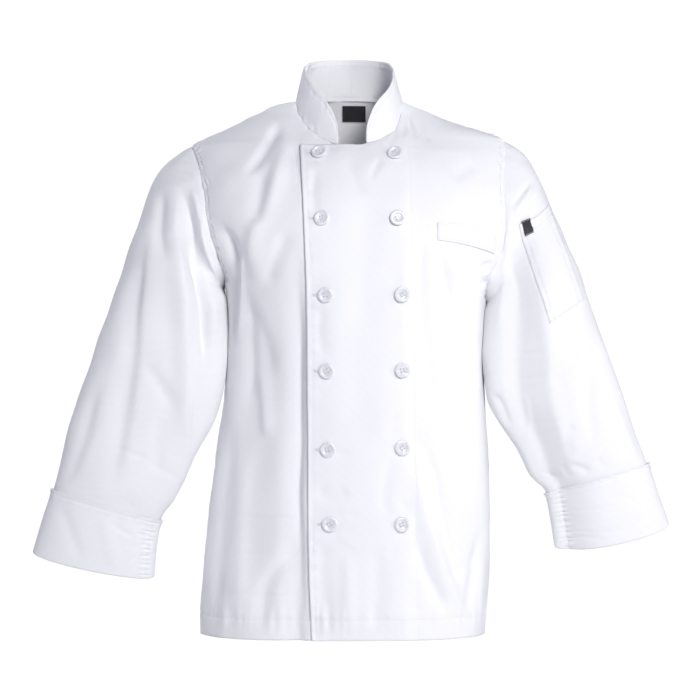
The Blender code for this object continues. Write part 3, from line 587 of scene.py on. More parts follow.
class JacketSettings(bpy.types.PropertyGroup):
    cloth_thickness: length_setting(
        "Cloth thickness", "Thickness of the twill where it lies single", 1.2, 0.4, 1.8
    )
    cuff_thickness: length_setting(
        "Cuff thickness", "Thickness of the doubled twill of the cuffs", 1.6, 0.6, 2.0
    )
    collar_thickness: length_setting(
        "Collar thickness", "Thickness of the doubled and stiffened collar", 2.0, 0.8, 2.4
    )
    crease_share: share_setting(
        "Crease depth", "Depth of every crease as a share of its tabled depth", 1.5
    )
    pucker_share: share_setting(
        "Pucker depth", "Height of the puckers at the seams as a share of their tabled height", 2.0
    )
    stitch_pitch: length_setting(
        "Stitch pitch", "Distance from one stitch to the next", 3.4, 1.5, 6
    )
    stitch_width: length_setting(
        "Stitch width", "Thickness of the thread, a little coarse so that it reads", 0.9, 0.3, 1.5
    )
    cloth_colour: colour_setting("Cloth", "Colour of the bleached cotton twill", "F4F4F6")
    thread_colour: colour_setting("Thread", "Colour of the sewing thread", "E9E9F0")
    button_colour: colour_setting("Buttons", "Colour of the pearly button plastic", "F1F1F3")
    label_colour: colour_setting("Labels", "Colour of the woven labels", "17171A")


class StudioSettings(bpy.types.PropertyGroup):
    key_power: power_setting(
        "Key light", "Power of the large soft light at the wearer's left", 24.0
    )
    fill_power: power_setting("Fill light", "Power of the soft light on the other side", 16.0)
    front_power: power_setting(
        "Front light", "Power of the soft light in front, which reaches into the neck", 86.0
    )
    back_power: power_setting("Back light", "Power of the soft light behind", 65.0)
    sky_strength: bpy.props.FloatProperty(
        name="Surround",
        description="Brightness of the light that the white room gives",
        default=0.10,
        min=0.0,
    )
    sky_colour: colour_setting("Surround colour", "Colour of the light from the room", "AAAAFF")


# The surfaces, as in the solids


def hermite(t, first, leaving, last, arriving):
    """From first (t = 0) to last (t = 1), with these directions at the two ends."""
    return (
        first * (2 * t**3 - 3 * t**2 + 1)
        + leaving * (t**3 - 2 * t**2 + t)
        + last * (3 * t**2 - 2 * t**3)
        + arriving * (t**3 - t**2)
    )


def smooth(rows, at):
    """The table's other columns where its first is `at`, by monotone cubic interpolation."""
    table = np.array(rows, float)
    key, values = table[:, 0], table[:, 1:]
    at = np.asarray(at, float)
    step = np.diff(key)[:, None]
    slope = np.diff(values, axis=0) / step
    before, after = slope[:-1], slope[1:]
    same = before * after > 0
    safe_before, safe_after = np.where(same, before, 1), np.where(same, after, 1)
    weight = step[:-1] + 2 * step[1:]
    other = 2 * step[:-1] + step[1:]
    mean = (weight + other) / (weight / safe_before + other / safe_after)
    tangent = np.vstack([slope[:1], np.where(same, mean, 0), slope[-1:]])
    i = np.clip(np.searchsorted(key, at, side="right") - 1, 0, len(key) - 2)
    h = step[i]
    t = (at - key[i])[..., None] / h
    return hermite(t, values[i], tangent[i] * h, values[i + 1], tangent[i + 1] * h)


def soft_step(low, high, x):
    """0 at low and 1 at high, with a soft change between them."""
    t = np.clip((np.asarray(x) - low) / (high - low), 0, 1)
    return t * t * (3 - 2 * t)


def unit(vectors):
    """The same vectors with a length of 1."""
    return vectors / np.linalg.norm(vectors, axis=-1, keepdims=True)


def lengths_along(points):
    """How far along a line through the points each of them is."""
    steps = np.linalg.norm(np.diff(points, axis=0), axis=1)
    return np.concatenate([[0], np.cumsum(steps)])


def normals_of(surface, a, b):
    """Unit normals of a surface at its parameters a and b, from small steps in both."""
    step = 1e-4
    across = surface(a + step, b) - surface(a - step, b)
    along = surface(a, b + step) - surface(a, b - step)
    return unit(np.cross(across, along))


def body_section(height):
    """right, left, front and back in metres, then square and raise_back."""
    row = smooth(BODY, np.asarray(height) / MM)
    right, left, front, back = (row[..., i] * MM for i in range(4))
    return right, left, front, back, row[..., 4], row[..., 5] * MM


def body_point(angle, height):
    """The body's surface. The angle is 0 at the front, 90 degrees at the wearer's left side,
    -90 or 270 at the right side and 180 at the back."""
    right, left, front, back, square, raise_back = body_section(height)
    side, ahead = np.sin(angle), np.cos(angle)
    reach = (np.abs(side) ** square + np.abs(ahead) ** square) ** (-1 / square)
    x = np.where(side > 0, left, right) * side * reach
    y = -np.where(ahead > 0, front, back) * ahead * reach
    z = height + np.where(ahead < 0, raise_back * ahead**2, 0)
    return np.stack([x, y, z], axis=-1)


def body_angle(x, height):
    """The angle on the front of the body where its surface has this x at this height."""
    right, left, _, _, square, _ = body_section(height)
    share = np.clip(np.abs(x) / np.where(x > 0, left, right), 0, 1)
    rest = (1 - share**square) ** (1 / square)
    return np.sign(x) * np.arctan2(share, rest)


def side_of(name):
    """sign, middle and half height of the armhole, its half angles, and the neckline's square."""
    sign, top, bottom, front, back, square = SIDES[name]
    middle, half = (top + bottom) / 2 * MM, (top - bottom) / 2 * MM
    return sign, middle, half, math.radians(front), math.radians(back), square


def side_line(name, behind, rows):
    """Angles and heights up the side of a panel, where rows runs from 0 to 1 up the side seam,
    to 2 round the armhole and to 3 up the shoulder seam."""
    sign, middle, half, front, back, _ = side_of(name)
    turn = (np.clip(rows, 1, 2) - 1) * np.pi
    below = -LENGTH + (middle - half + LENGTH) * rows
    above = (middle + half) * (3 - rows)
    height = np.where(rows < 1, below, np.where(rows < 2, middle - half * np.cos(turn), above))
    angle = np.pi / 2 + (back if behind else -front) * np.sin(turn)
    inwards = 1 if behind else -1
    step = inwards * 1e-3
    run = body_point(sign * (angle + step), height) - body_point(sign * angle, height)
    angle = sign * (angle + step * SEAM_GAP / 2 / np.linalg.norm(run, axis=-1))
    if behind and sign < 0:
        angle = angle + 2 * np.pi
    return angle, height


def neckline(name, share):
    """x and height of the front neckline, from its lowest point (0) to the shoulder (1)."""
    sign, _, _, _, _, square = side_of(name)
    turn = np.asarray(share) * np.pi / 2
    x = sign * NECK_HALF_WIDTH * np.sin(turn) ** (2 / square)
    return x, -NECK_DROP * np.cos(turn) ** (2 / square)


def evenly(points, fractions):
    """Rows of (angle, height) at these fractions of the way along the body's surface."""
    along = lengths_along(body_point(points[:, 0], points[:, 1]))
    at = np.asarray(fractions) * along[-1]
    return np.stack([np.interp(at, along, points[:, 0]), np.interp(at, along, points[:, 1])], 1)


def panel_rows():
    """The rows of a panel, from 0 at the hem to 3 at the neck, closer together at both ends."""
    parts = [np.linspace(i, i + 1, count, endpoint=False) for i, count in enumerate(PANEL_ROWS)]
    return np.append(np.concatenate(parts), 3)


def front_corner(name):
    """The height of the upper end of a front's own front edge."""
    return TOP_CORNER if name == "left" else UNDER_CORNER


def edge_at(z):
    """x of the left front's front edge at this height."""
    height = np.clip(z / MM, FRONT_EDGE[0][0], FRONT_EDGE[-1][0])
    return smooth(FRONT_EDGE, height)[..., 0] * MM


def front_edge_x(name, height):
    """x of a front's own front edge at this height."""
    return edge_at(height) if name == "left" else height * 0 + UNDER_EDGE_X


def front_edge(name, share):
    """Angles and heights at these shares of the way up a front's own front edge."""
    level = np.linspace(HEM_RISE - LENGTH, front_corner(name), 200)
    edge_x = front_edge_x(name, level)
    return evenly(np.stack([body_angle(edge_x, level), level], 1), share)


def front_neck(name, count):
    """x and height along a front's neckline, which leaves its straight upper edge softly."""
    corner = front_corner(name)
    x, z = neckline(name, np.linspace(0.02, 1, count))
    rise = soft_step(NECK_START, NECK_FREE, side_of(name)[0] * x)
    return x, corner + (z - corner) * rise


def front_top(name, share):
    """Angles and heights at these shares of the way along a front's upper edge."""
    corner = front_corner(name)
    edge_x = FRONT_EDGE[-1][1] * MM if name == "left" else UNDER_EDGE_X
    neck_x, neck_z = front_neck(name, 400)
    flat_x = np.linspace(edge_x, neck_x[0], 200)[:-1]
    top_x, top_z = np.append(flat_x, neck_x), np.append(flat_x * 0 + corner, neck_z)
    top_angle = body_angle(top_x, top_z)
    top_angle[-1] = side_line(name, False, np.array([3.0]))[0][0]
    return evenly(np.stack([top_angle, top_z], 1), share)


def front_grid(name):
    """Angles and heights over one front in level rows from its front edge to its side, and the
    first column of each row of faces: above the corner the rows start at the neckline."""
    corner = front_corner(name)
    sign, middle, half, _, _, _ = side_of(name)
    level = 1 + math.acos((middle - corner) / half) / math.pi
    rows = np.sort(np.append(panel_rows(), level))
    rows[-1] = LAST_ROW
    side, height = side_line(name, False, rows)
    height[np.searchsorted(rows, level)] = corner
    below = np.minimum(height, corner)
    edge = body_angle(front_edge_x(name, below), below)
    neck_x, neck_z = front_neck(name, 900)
    keep = sign * neck_x > NECK_START
    neck_z = neck_z[keep]
    neck = np.interp(height, neck_z, body_angle(neck_x[keep], neck_z))
    low = height <= corner
    start = np.where(low, edge, neck)
    bend = np.where(low, body_angle(sign * NECK_START + 0 * below, below), neck)
    u = np.linspace(0, 1, EDGE_COLUMNS, endpoint=False)
    # Closer together towards the side, where the armhole's edge runs
    w = 1 - (1 - np.linspace(0, 1, FRONT_COLUMNS - EDGE_COLUMNS + 1)) ** DENSE_SIDE
    near = start[:, None] + (bend - start)[:, None] * u
    far = bend[:, None] + (side - bend)[:, None] * w
    angle = np.concatenate([near, far], axis=1)
    raised = 1 - soft_step(0, HEM_REACH, height + LENGTH)
    height = height[:, None] + HEM_RISE * np.cos(angle) ** 2 * raised[:, None]
    first = np.where(low[:-1] & low[1:], 0, EDGE_COLUMNS)
    return np.stack([angle, height], axis=-1), first


def back_grid():
    """Angles and heights over the back, from the left side round to the right."""
    u = np.linspace(0, 1, BACK_COLUMNS + 1)
    u = (u - DENSE_ENDS / 2 * np.sin(2 * np.pi * u) / (2 * np.pi))[None, :, None]
    # Just over the foot of the armhole the rows would be closer than the cloth is thick.
    rows = np.delete(panel_rows(), slice(PANEL_ROWS[0] + 1, PANEL_ROWS[0] + 4))
    left = np.stack(side_line("left", True, rows), 1)[:, None]
    right = np.stack(side_line("right", True, rows), 1)[:, None]
    return left + (right - left) * u


# Creases, seams and puckers


def hill(distance, width):
    """1 at no distance, falling softly to 0 on both sides of it."""
    return np.exp(-((distance / width) ** 2))


def wobble(at, seed):
    """Random hills and hollows along a line, from -1 to 1, one for each unit of `at`."""
    knots = np.random.default_rng(seed).uniform(-1, 1, 512)
    whole = np.floor(at).astype(int)
    part = soft_step(0, 1, at - whole)
    return knots[whole % 512] * (1 - part) + knots[(whole + 1) % 512] * part


def ripples(at, finer, first, second):
    """Hills and hollows, and others this much finer and half as high on them, by two seeds."""
    return wobble(at, first) + 0.5 * wobble(at * finer, second)


def unevenness(points, size, height):
    """Slight swells of the cloth with no order, the same wherever two pieces meet."""
    random = np.random.default_rng(11)
    total = np.zeros(points.shape[:-1])
    for _ in range(16):
        direction = unit(random.normal(size=3))
        wave = 2 * np.pi / (size * random.uniform(0.6, 1.7))
        total += np.sin(points @ direction * wave + random.uniform(0, 2 * np.pi))
    return total * height / 4


def distance_to_line(knots, x, z):
    """Signed distance to a line through the knots (positive on its left, going down it), and
    how far along it, 0 to 1, the nearest place is."""
    lengths = np.linalg.norm(np.diff(knots, axis=0), axis=1)
    best, share = np.full(x.shape, np.inf), np.zeros(x.shape)
    for i, length in enumerate(lengths):
        ux, uz = (knots[i + 1] - knots[i]) / length
        dx, dz = x - knots[i, 0], z - knots[i, 1]
        t = np.clip(dx * ux + dz * uz, 0, length)
        distance = np.hypot(dx - ux * t, dz - uz * t)
        nearer = distance < np.abs(best)
        sign = np.where(dx * uz - dz * ux > 0, 1, -1)
        best = np.where(nearer, distance * sign, best)
        share = np.where(nearer, (lengths[:i].sum() + t) / lengths.sum(), share)
    return best, share


def rounded(knots):
    """The same line with its corners rounded."""
    along = lengths_along(knots)
    count = max(4, int(along[-1] / ROUNDED_STEP))
    return smooth(np.column_stack([along, knots]), np.linspace(0, along[-1], count + 1))


def creases(piece, points, normals):
    """How far the creases of a piece move its surface outwards at these points."""
    x, z = points[..., 0] / MM, points[..., 2] / MM
    total = np.zeros(x.shape)
    rows = [(face, row) for (name, face), table in CREASES.items() if name == piece for row in table]
    for face, (left, right, depth, *line) in rows:
        knots = rounded(np.array(line, float).reshape(-1, 2))
        reach = CREASE_REACH * max(left, right)
        low, high = knots.min(axis=0) - reach, knots.max(axis=0) + reach
        near = (x > low[0]) & (x < high[0]) & (z > low[1]) & (z < high[1])
        distance, share = distance_to_line(knots, x[near], z[near])
        width = np.where(distance > 0, left, right)
        taper = soft_step(0, TAPER, share) * soft_step(0, TAPER, 1 - share)
        towards = normals[..., 1][near] * (-1 if face == "front" else 1)
        total[near] += depth * taper * (hill(distance, width) * np.clip(towards * 1.5, 0, 1))
    return total * MM * bpy.context.scene.jacket.crease_share


def along_line(points, line, reach):
    """Distance of each point from a line in space, infinite past `reach`, and how far along the
    line its nearest place is."""
    flat = points.reshape(-1, 3)
    coarse = line[:: max(1, len(line) // 24)]
    spacing = np.linalg.norm(np.diff(coarse, axis=0), axis=1).max()
    rough = np.full(len(flat), np.inf)
    for knot in np.vstack([coarse, line[-1:]]):
        rough = np.minimum(rough, np.linalg.norm(flat - knot, axis=1))
    near = rough < reach + spacing
    close = flat[near]
    best, place = np.full(len(close), np.inf), np.zeros(len(close))
    start = 0.0
    for first, second in zip(line[:-1], line[1:]):
        length = np.linalg.norm(second - first)
        if length == 0:
            continue
        ahead = (second - first) / length
        t = np.clip((close - first) @ ahead, 0, length)
        distance = np.linalg.norm(close - first - t[:, None] * ahead, axis=1)
        nearer = distance < best
        best, place = np.where(nearer, distance, best), np.where(nearer, start + t, place)
        start += length
    distances, places = np.full(len(flat), np.inf), np.zeros(len(flat))
    distances[near], places[near] = best, place
    return distances.reshape(points.shape[:-1]), places.reshape(points.shape[:-1])


def seams(piece, points):
    """How far the seams of a piece move its surface outwards at these points."""
    total = np.zeros(points.shape[:-1])
    every = [(name, row) for name, rows in SEAMS.items() for row in rows]
    for seed, (name, (line, groove, width, pucker, spacing, reach)) in enumerate(every):
        if name != piece:
            continue
        path = base_of(piece, *line_on(piece, line))
        distance, along = along_line(points, path, 3 * reach * MM)
        distance = distance / MM
        ripple = ripples(along / MM / spacing, 2.3, seed, seed)
        if line in PLEATED:
            ripple = np.sin(2 * np.pi * along / MM / spacing + 2 * ripple)
        share = bpy.context.scene.jacket.pucker_share
        total -= groove * hill(distance, width)
        total += share * pucker * ripple * hill(distance, reach)
    return total * MM


# The body's cloth


def ring_line(name, behind, inside):
    """Angles and heights along one side of an armhole, this far inside the panel."""
    sign, middle, half, front, back, _ = side_of(name)
    turn = np.linspace(0, np.pi, 90)
    sideways = inside / SIDE_RADIUS
    angle = np.pi / 2 + ((back + sideways) if behind else -(front + sideways)) * np.sin(turn)
    height = middle - (half + inside) * np.cos(turn)
    return sign * angle + (2 * np.pi if behind and sign < 0 else 0), height


def in_front_of(points, distance):
    """Angles and heights on the front of the body this far in front of points on its shoulder."""
    x, low, high = points[:, 0], points[:, 2] - 40 * MM, points[:, 2]
    for _ in range(30):
        middle = (low + high) / 2
        ahead = body_point(body_angle(x, middle), middle)[:, 1] < points[:, 1] - distance
        low, high = np.where(ahead, middle, low), np.where(ahead, high, middle)
    return body_angle(x, low), low


def line_on(piece, line):
    """The parameters of a named line on a piece: angles and heights, or angles and rows."""
    kind, _, side = piece.partition("_")
    if kind in ("sleeve", "cuff"):
        return sleeve_line(line)
    behind = piece == "back"
    if behind and line.endswith(("_left", "_right")):
        line, _, side = line.rpartition("_")
    if line == "hem_stitch":
        angle = (back_grid() if behind else front_grid(side)[0])[0, :, 0]
        return angle, HEM_RISE * np.clip(np.cos(angle), 0, 1) ** 2 - LENGTH + HEM_STITCH
    if line == "armhole":
        return ring_line(side, behind, 0)
    if line == "armhole_stitch":
        return ring_line(side, behind, ARMHOLE_STITCH)
    if line == "side":
        return side_line(side, behind, np.linspace(0, 1, 60))
    if line == "shoulder":
        return side_line(side, behind, np.linspace(2, 3, 40))
    if line == "neck" and behind:
        angle = np.linspace(np.pi / 2, 3 * np.pi / 2, 90)
        return angle, angle * 0
    if line == "neck":
        return front_top(side, np.linspace(0.35, 1, 90)).T
    if line == "shoulder_stitch":
        edge = body_point(*side_line(side, behind, np.linspace(2.03, 2.97, 50)))
        return in_front_of(edge, SHOULDER_STITCH)
    if line == "facing":
        height = np.linspace(-LENGTH + 2 * MM, -72 * MM, 120)
        return body_angle(smooth(FACING, height / MM)[..., 0] * MM, height), height
    if line == "edge_stitch":
        angle, height = front_edge(side, np.linspace(0, 0.99, 120)).T
        x = body_point(angle, height)[:, 0] + EDGE_STITCH
        return body_angle(x, height), height
    angle, height = front_top(side, np.linspace(0.03, 0.42, 60)).T
    return angle, height - TOP_STITCH


def base_of(piece, first, second):
    """Points of a piece's plain surface, before any crease or seam."""
    kind, _, side = piece.partition("_")
    if kind in ("sleeve", "cuff"):
        return sleeve_point(side, first, second)
    return body_point(first, second)


def front_lift(points):
    """How far the left front stands off the body's surface, over the right front."""
    x, z = points[..., 0], points[..., 2]
    over = 1 - soft_step(*OVERLAP, x)
    below = 1 - soft_step(*OVERLAP_TOP, z)
    free = 1 - soft_step(0, FREE_EDGE, x - edge_at(z))
    return (WALL + LAYER_GAP) * over * below + EDGE_LIFT * free**2


def held_back(piece, points):
    """1 in the open cloth of a panel and 0 at its armholes and its neckline."""
    sides = ("_left", "_right") if piece == "back" else ("",)
    held = np.ones(points.shape[:-1])
    for line in ["neck", *("armhole" + side for side in sides)]:
        path = base_of(piece, *line_on(piece, line))
        distance, _ = along_line(points, path, 2 * HOLD)
        held *= soft_step(0, HOLD, distance)
    return held


def on_body(piece, angle, height, out):
    """Points of a panel's cloth, moved out by `out`, and the unit normals there."""
    angle, height = np.atleast_1d(angle), np.atleast_1d(height)
    base = body_point(angle, height)
    normals = normals_of(body_point, angle, height)
    move = creases(piece, base, normals)
    if piece == "front_right":
        # Under the left front it follows the left front's creases.
        covered = soft_step(-COVERED, 0, base[..., 0] - edge_at(base[..., 2]))
        move = move * (1 - covered) + creases("front_left", base, normals) * covered
    move = (move + unevenness(base, *BODY_SWELLS)) * held_back(piece, base)
    move += seams(piece, base) + (front_lift(base) if piece == "front_left" else 0) + out
    return base + normals * move[..., None], normals


# The sleeves' cloth


def sleeve_ring(name, angle, along):
    """The straight part of a sleeve. along counts the rows of its table from 1. The angle is 0
    at the outer edge, 90 degrees at the front, 180 at the inner edge and 270 at the back."""
    sign = side_of(name)[0]
    rows = [(i + 1, *row) for i, row in enumerate(SLEEVES[name])]
    table = smooth(rows, along) * MM
    outer_x, outer_z, inner_x, inner_z, depth, forward, droop = np.moveaxis(table, -1, 0)
    out, ahead = np.cos(angle), np.sin(angle)
    x = (outer_x + inner_x) / 2 + out * (outer_x - inner_x) / 2
    z = (outer_z + inner_z) / 2 + out * (outer_z - inner_z) / 2 - droop * ahead
    return np.stack([sign * x, -forward - depth * ahead, z], axis=-1)


def sleeve_point(name, angle, along):
    """A sleeve's surface: its crown from the armhole (0) to the first row (1), then the rows. It
    starts just under the edge of the armhole."""
    sign, middle, half, front, back, _ = side_of(name)
    angle, along = np.broadcast_arrays(np.asarray(angle, float), np.asarray(along, float))
    up, ahead = np.cos(angle), np.sin(angle)
    hole_angle = np.pi / 2 - np.where(ahead > 0, front, back) * ahead
    hole_height = middle + half * up
    hole = body_point(hole_angle * sign, hole_height)
    outwards = normals_of(body_point, hole_angle * sign, hole_height)
    first = sleeve_ring(name, angle, along * 0 + 1)
    down = unit(sleeve_ring(name, angle, along * 0 + 1.05) - first)
    under = ((1 - up) / 2)[..., None]
    crown = np.array([sign * math.cos(CROWN_SLOPE), 0, -math.sin(CROWN_SLOPE)])
    swell = np.stack([ahead * 0, -ahead * CROWN_BULGE, ahead * 0], axis=-1)
    leave = unit((1 - under) * crown + under * down + swell)
    hole = hole - SLEEVE_TUCK * outwards - SLEEVE_TUCK * leave
    reach = np.linalg.norm(first - hole, axis=-1, keepdims=True) * CROWN_REACH
    t = np.clip(along, 0, 1)[..., None]
    arch = hermite(t, hole, leave * reach, first, down * reach)
    return np.where(along[..., None] < 1, arch, sleeve_ring(name, angle, np.maximum(along, 1)))


def sleeve_line(line):
    """Angles and rows of a named line on a sleeve or cuff."""
    if line == "head":
        angle = np.linspace(0, 2 * np.pi, 160)
        return angle, angle * 0 + 0.02
    if line == "underarm":
        along = np.linspace(0.02, CUFF_TOP, 120)
        return along * 0 + UNDERARM_ANGLE, along
    if line == "cuff_seam":
        along = np.linspace(CUFF_TOP, CUFF_BOTTOM, 40)
        return along * 0 + CUFF_SEAM_ANGLE, along
    angle = np.linspace(0, 2 * np.pi, 160)
    return angle, angle * 0 + CUFF_TOP + CUFF_STITCH / ROW_LENGTH


def on_sleeve(piece, angle, along, out):
    """Points of the cloth of a sleeve or cuff, moved out by `out`, and the unit normals there."""
    kind, _, name = piece.partition("_")

    def surface(a, b):
        return sleeve_point(name, a, b)

    angle, along = np.broadcast_arrays(np.asarray(angle, float), np.asarray(along, float))
    along = np.maximum(along, 2e-4)
    base = surface(angle, along)
    normals = normals_of(surface, angle, along) * side_of(name)[0]
    turned = creases(f"cuff_{name}", base, normals)
    if kind == "sleeve":
        # Inside the cuff the sleeve follows the cuff's creases.
        inside = soft_step(CUFF_TOP - 0.5, CUFF_TOP, along)
        own = creases(piece, base, normals) + unevenness(base, *SLEEVE_SWELLS)
        own = own * soft_step(0, 0.16, along)
        move = own * (1 - inside) + turned * inside
    else:
        move = turned
    move = move + seams(piece, base) + out
    return base + normals * move[..., None], normals


def sleeve_parameters(name, x, z):
    """The angle and along on the front of a sleeve where it is seen at x and z, by Newton's way."""
    angle, along = np.full(np.shape(x), 0.9), np.full(np.shape(x), 1.0)
    step = 1e-3
    for _ in range(30):
        here = sleeve_point(name, angle, along)
        by_angle = (sleeve_point(name, angle + step, along) - here) / step
        by_along = (sleeve_point(name, angle, along + step) - here) / step
        dx, dz = x - here[..., 0], z - here[..., 2]
        scale = by_angle[..., 0] * by_along[..., 2] - by_angle[..., 2] * by_along[..., 0]
        turn = (dx * by_along[..., 2] - dz * by_along[..., 0]) / scale
        go = (dz * by_angle[..., 0] - dx * by_angle[..., 2]) / scale
        angle = np.clip(angle + np.clip(turn, -0.2, 0.2), 0.02, 1.6)
        along = np.clip(along + np.clip(go, -0.3, 0.3), 0.05, CUFF_BOTTOM)
    return angle, along


def kept_off_body(name, points, along, clearance):
    """Points of a sleeve, moved off the body's cloth where they are nearer to it than this."""
    vertices, faces = [], []
    for piece, grid in ((f"front_{name}", front_grid(name)[0]), ("back", back_grid())):
        surface, _ = on_body(piece, grid[::2, ::2, 0], grid[::2, ::2, 1], 0)
        rows, columns = surface.shape[:2]
        row, column = np.mgrid[: rows - 1, : columns - 1]
        first = len(vertices) + (row * columns + column).ravel()
        faces += np.stack([first, first + 1, first + columns + 1, first + columns], 1).tolist()
        vertices += surface.reshape(-1, 3).tolist()
    body = BVHTree.FromPolygons(vertices, faces)
    moved = points.reshape(-1, 3).copy()
    share = np.broadcast_to(soft_step(0.15, 0.35, along), points.shape[:-1]).ravel()
    for i in np.flatnonzero(share):
        place, normal, _, distance = body.find_nearest(Vector(moved[i]), NEAR_BODY)
        if place is None:
            continue
        if normal.dot((place.x, place.y, 0)) < 0:
            normal = -normal
        gap = (Vector(moved[i]) - place).dot(normal)
        # Only where the body's cloth is right beside the point, not past its edge
        if gap < clearance and abs(gap) > 0.85 * distance:
            moved[i] += np.array(normal) * (clearance - gap) * share[i]
    return moved.reshape(points.shape)


# The collar


def collar_path():
    """Angles and heights along the foot of the collar, from its right end to its left end."""
    share = np.linspace(0, 1, 300)
    line = []
    for name, end in (("right", COLLAR_END_RIGHT), ("left", COLLAR_END_LEFT)):
        x, z = neckline(name, share)
        keep = np.abs(x) >= abs(end)
        angle = body_angle(x, z)
        angle[-1] = np.pi / 2 * np.sign(end)
        line.append(np.stack([angle, z], 1)[keep])
    behind = np.linspace(-np.pi / 2, -3 * np.pi / 2, 200)[1:-1]
    back = np.stack([behind, behind * 0], 1)
    left = line[1][::-1] - [2 * np.pi, 0]
    return np.concatenate([line[0], back, left])


def collar_point(share, up, out):
    """Points of the collar's cloth: share runs along its foot and up from 0 at its foot to 1 at
    its upper edge. out moves them outwards. The second result is the outward direction."""
    path = evenly(collar_path(), np.linspace(0, 1, 400))
    foot = body_point(path[:, 0], path[:, 1])
    normals = normals_of(body_point, path[:, 0], path[:, 1])
    over = (path[:, 0] < -np.pi)[:, None]
    foot = foot + normals * front_lift(foot)[:, None] * over
    round_neck = np.degrees(np.abs((path[:, 0] + np.pi) % (2 * np.pi) - np.pi))
    lean = smooth(COLLAR_LEAN, round_neck)[:, 0] * MM
    inwards = -unit(foot * [1, 1, 0])
    foot = foot + COLLAR_INSET * inwards - COLLAR_TUCK * np.array([0, 0, 1])
    along = lengths_along(foot)
    from_end = np.clip(np.minimum(along, along[-1] - along) / COLLAR_CORNER, 0, 1)
    arc = np.sqrt(1 - (1 - from_end) ** 2)
    height = COLLAR_END_HEIGHT + (COLLAR_HEIGHT - COLLAR_END_HEIGHT) * arc + COLLAR_TUCK
    height = height - COLLAR_DIP * hill(round_neck - DIP_MIDDLE, DIP_REACH)
    at = np.asarray(share) * along[-1]

    def here(values):
        return np.interp(at, along, values)

    place = np.stack([here(foot[:, i]) for i in range(3)], axis=-1)
    inward = unit(np.stack([here(inwards[:, i]) for i in range(3)], axis=-1))
    rise = here(height) * up
    tip = rise / COLLAR_HEIGHT
    points = place + rise[..., None] * [0, 0, 1]
    points = points + inward * (here(lean) * tip**1.3)[..., None]
    from_stitch = (1 - np.asarray(up)) * here(height) / MM - COLLAR_STITCH / MM
    groove = -0.75 * hill(from_stitch, 2.0)
    ripple = wobble(at / (10 * MM), 91) + 0.5 * wobble(at / (4.5 * MM), 92)
    edge = 0.60 * ripple * hill(from_stitch, 7)
    gather = 0.85 * wobble(at / (9 * MM), 93) * hill(rise / MM, 10)
    swell = unevenness(points, *COLLAR_SWELLS) / MM * soft_step(0, 10 * MM, rise)
    move = (groove + edge + gather + swell) * MM + out
    return points - inward * move[..., None], -inward


# Making objects


def add_object(name, mesh, *materials):
    """An object in the scene with this mesh and these materials."""
    for material in materials:
        mesh.materials.append(material)
    obj = bpy.data.objects.new(name, mesh)
    bpy.context.scene.collection.objects.link(obj)
    return obj


def add_cloth(name, points, thickness, material, closed=False, flip=False, first=None):
    """A wall of cloth on a grid of points (rows, columns, 3), with a UV map in metres. closed
    joins each row's ends, and first gives the first column of each row of faces."""
    rows, columns = points.shape[:2]
    wide = np.concatenate([points, points[:, :1]], axis=1) if closed else points
    across = np.linalg.norm(np.diff(wide, axis=1), axis=2)
    u = np.concatenate([np.zeros((rows, 1)), np.cumsum(across, axis=1)], axis=1)
    u -= u[:, -1:] / 2
    upwards = np.linalg.norm(np.diff(wide, axis=0), axis=2)
    v = np.concatenate([np.zeros((1, wide.shape[1])), np.cumsum(upwards, axis=0)], axis=0)
    row, column = np.meshgrid(np.arange(rows - 1), np.arange(wide.shape[1] - 1), indexing="ij")
    used = np.ones(row.shape, bool) if first is None else column >= first[:, None]
    row, column = row[used], column[used]
    corners = [(row, column), (row, column + 1), (row + 1, column + 1), (row + 1, column)]
    if flip:
        corners = corners[::-1]
    faces = np.stack([r * columns + c % columns for r, c in corners], axis=1)
    kept, faces = np.unique(faces, return_inverse=True)
    faces = faces.reshape(-1, 4)
    uvs = np.stack([np.stack([u[r, c], v[r, c]], axis=-1) for r, c in corners], axis=1)
    mesh = bpy.data.meshes.new(name)
    mesh.from_pydata(points.reshape(-1, 3)[kept].tolist(), [], faces.tolist())
    layer = mesh.uv_layers.new(name="cloth")
    layer.data.foreach_set("uv", uvs.astype(np.float32).ravel())
    mesh.shade_smooth()
    obj = add_object(name, mesh, material)
    wall = obj.modifiers.new("cloth", "SOLIDIFY")
    wall.thickness = thickness
    wall.offset = 0
    return obj


def add_node(tree, kind, **settings):
    """A node with some of its properties and unlinked inputs set."""
    node = tree.nodes.new(kind)
    for key, value in settings.items():
        if key in node.bl_rna.properties:
            setattr(node, key, value)
        else:
            node.inputs[key].default_value = value
    return node


def wire(tree, *links):
    """Links nodes. A row gives a node and its output, then a node and its input."""
    for source, output, target, socket in links:
        tree.links.new(source.outputs[output], target.inputs[socket])


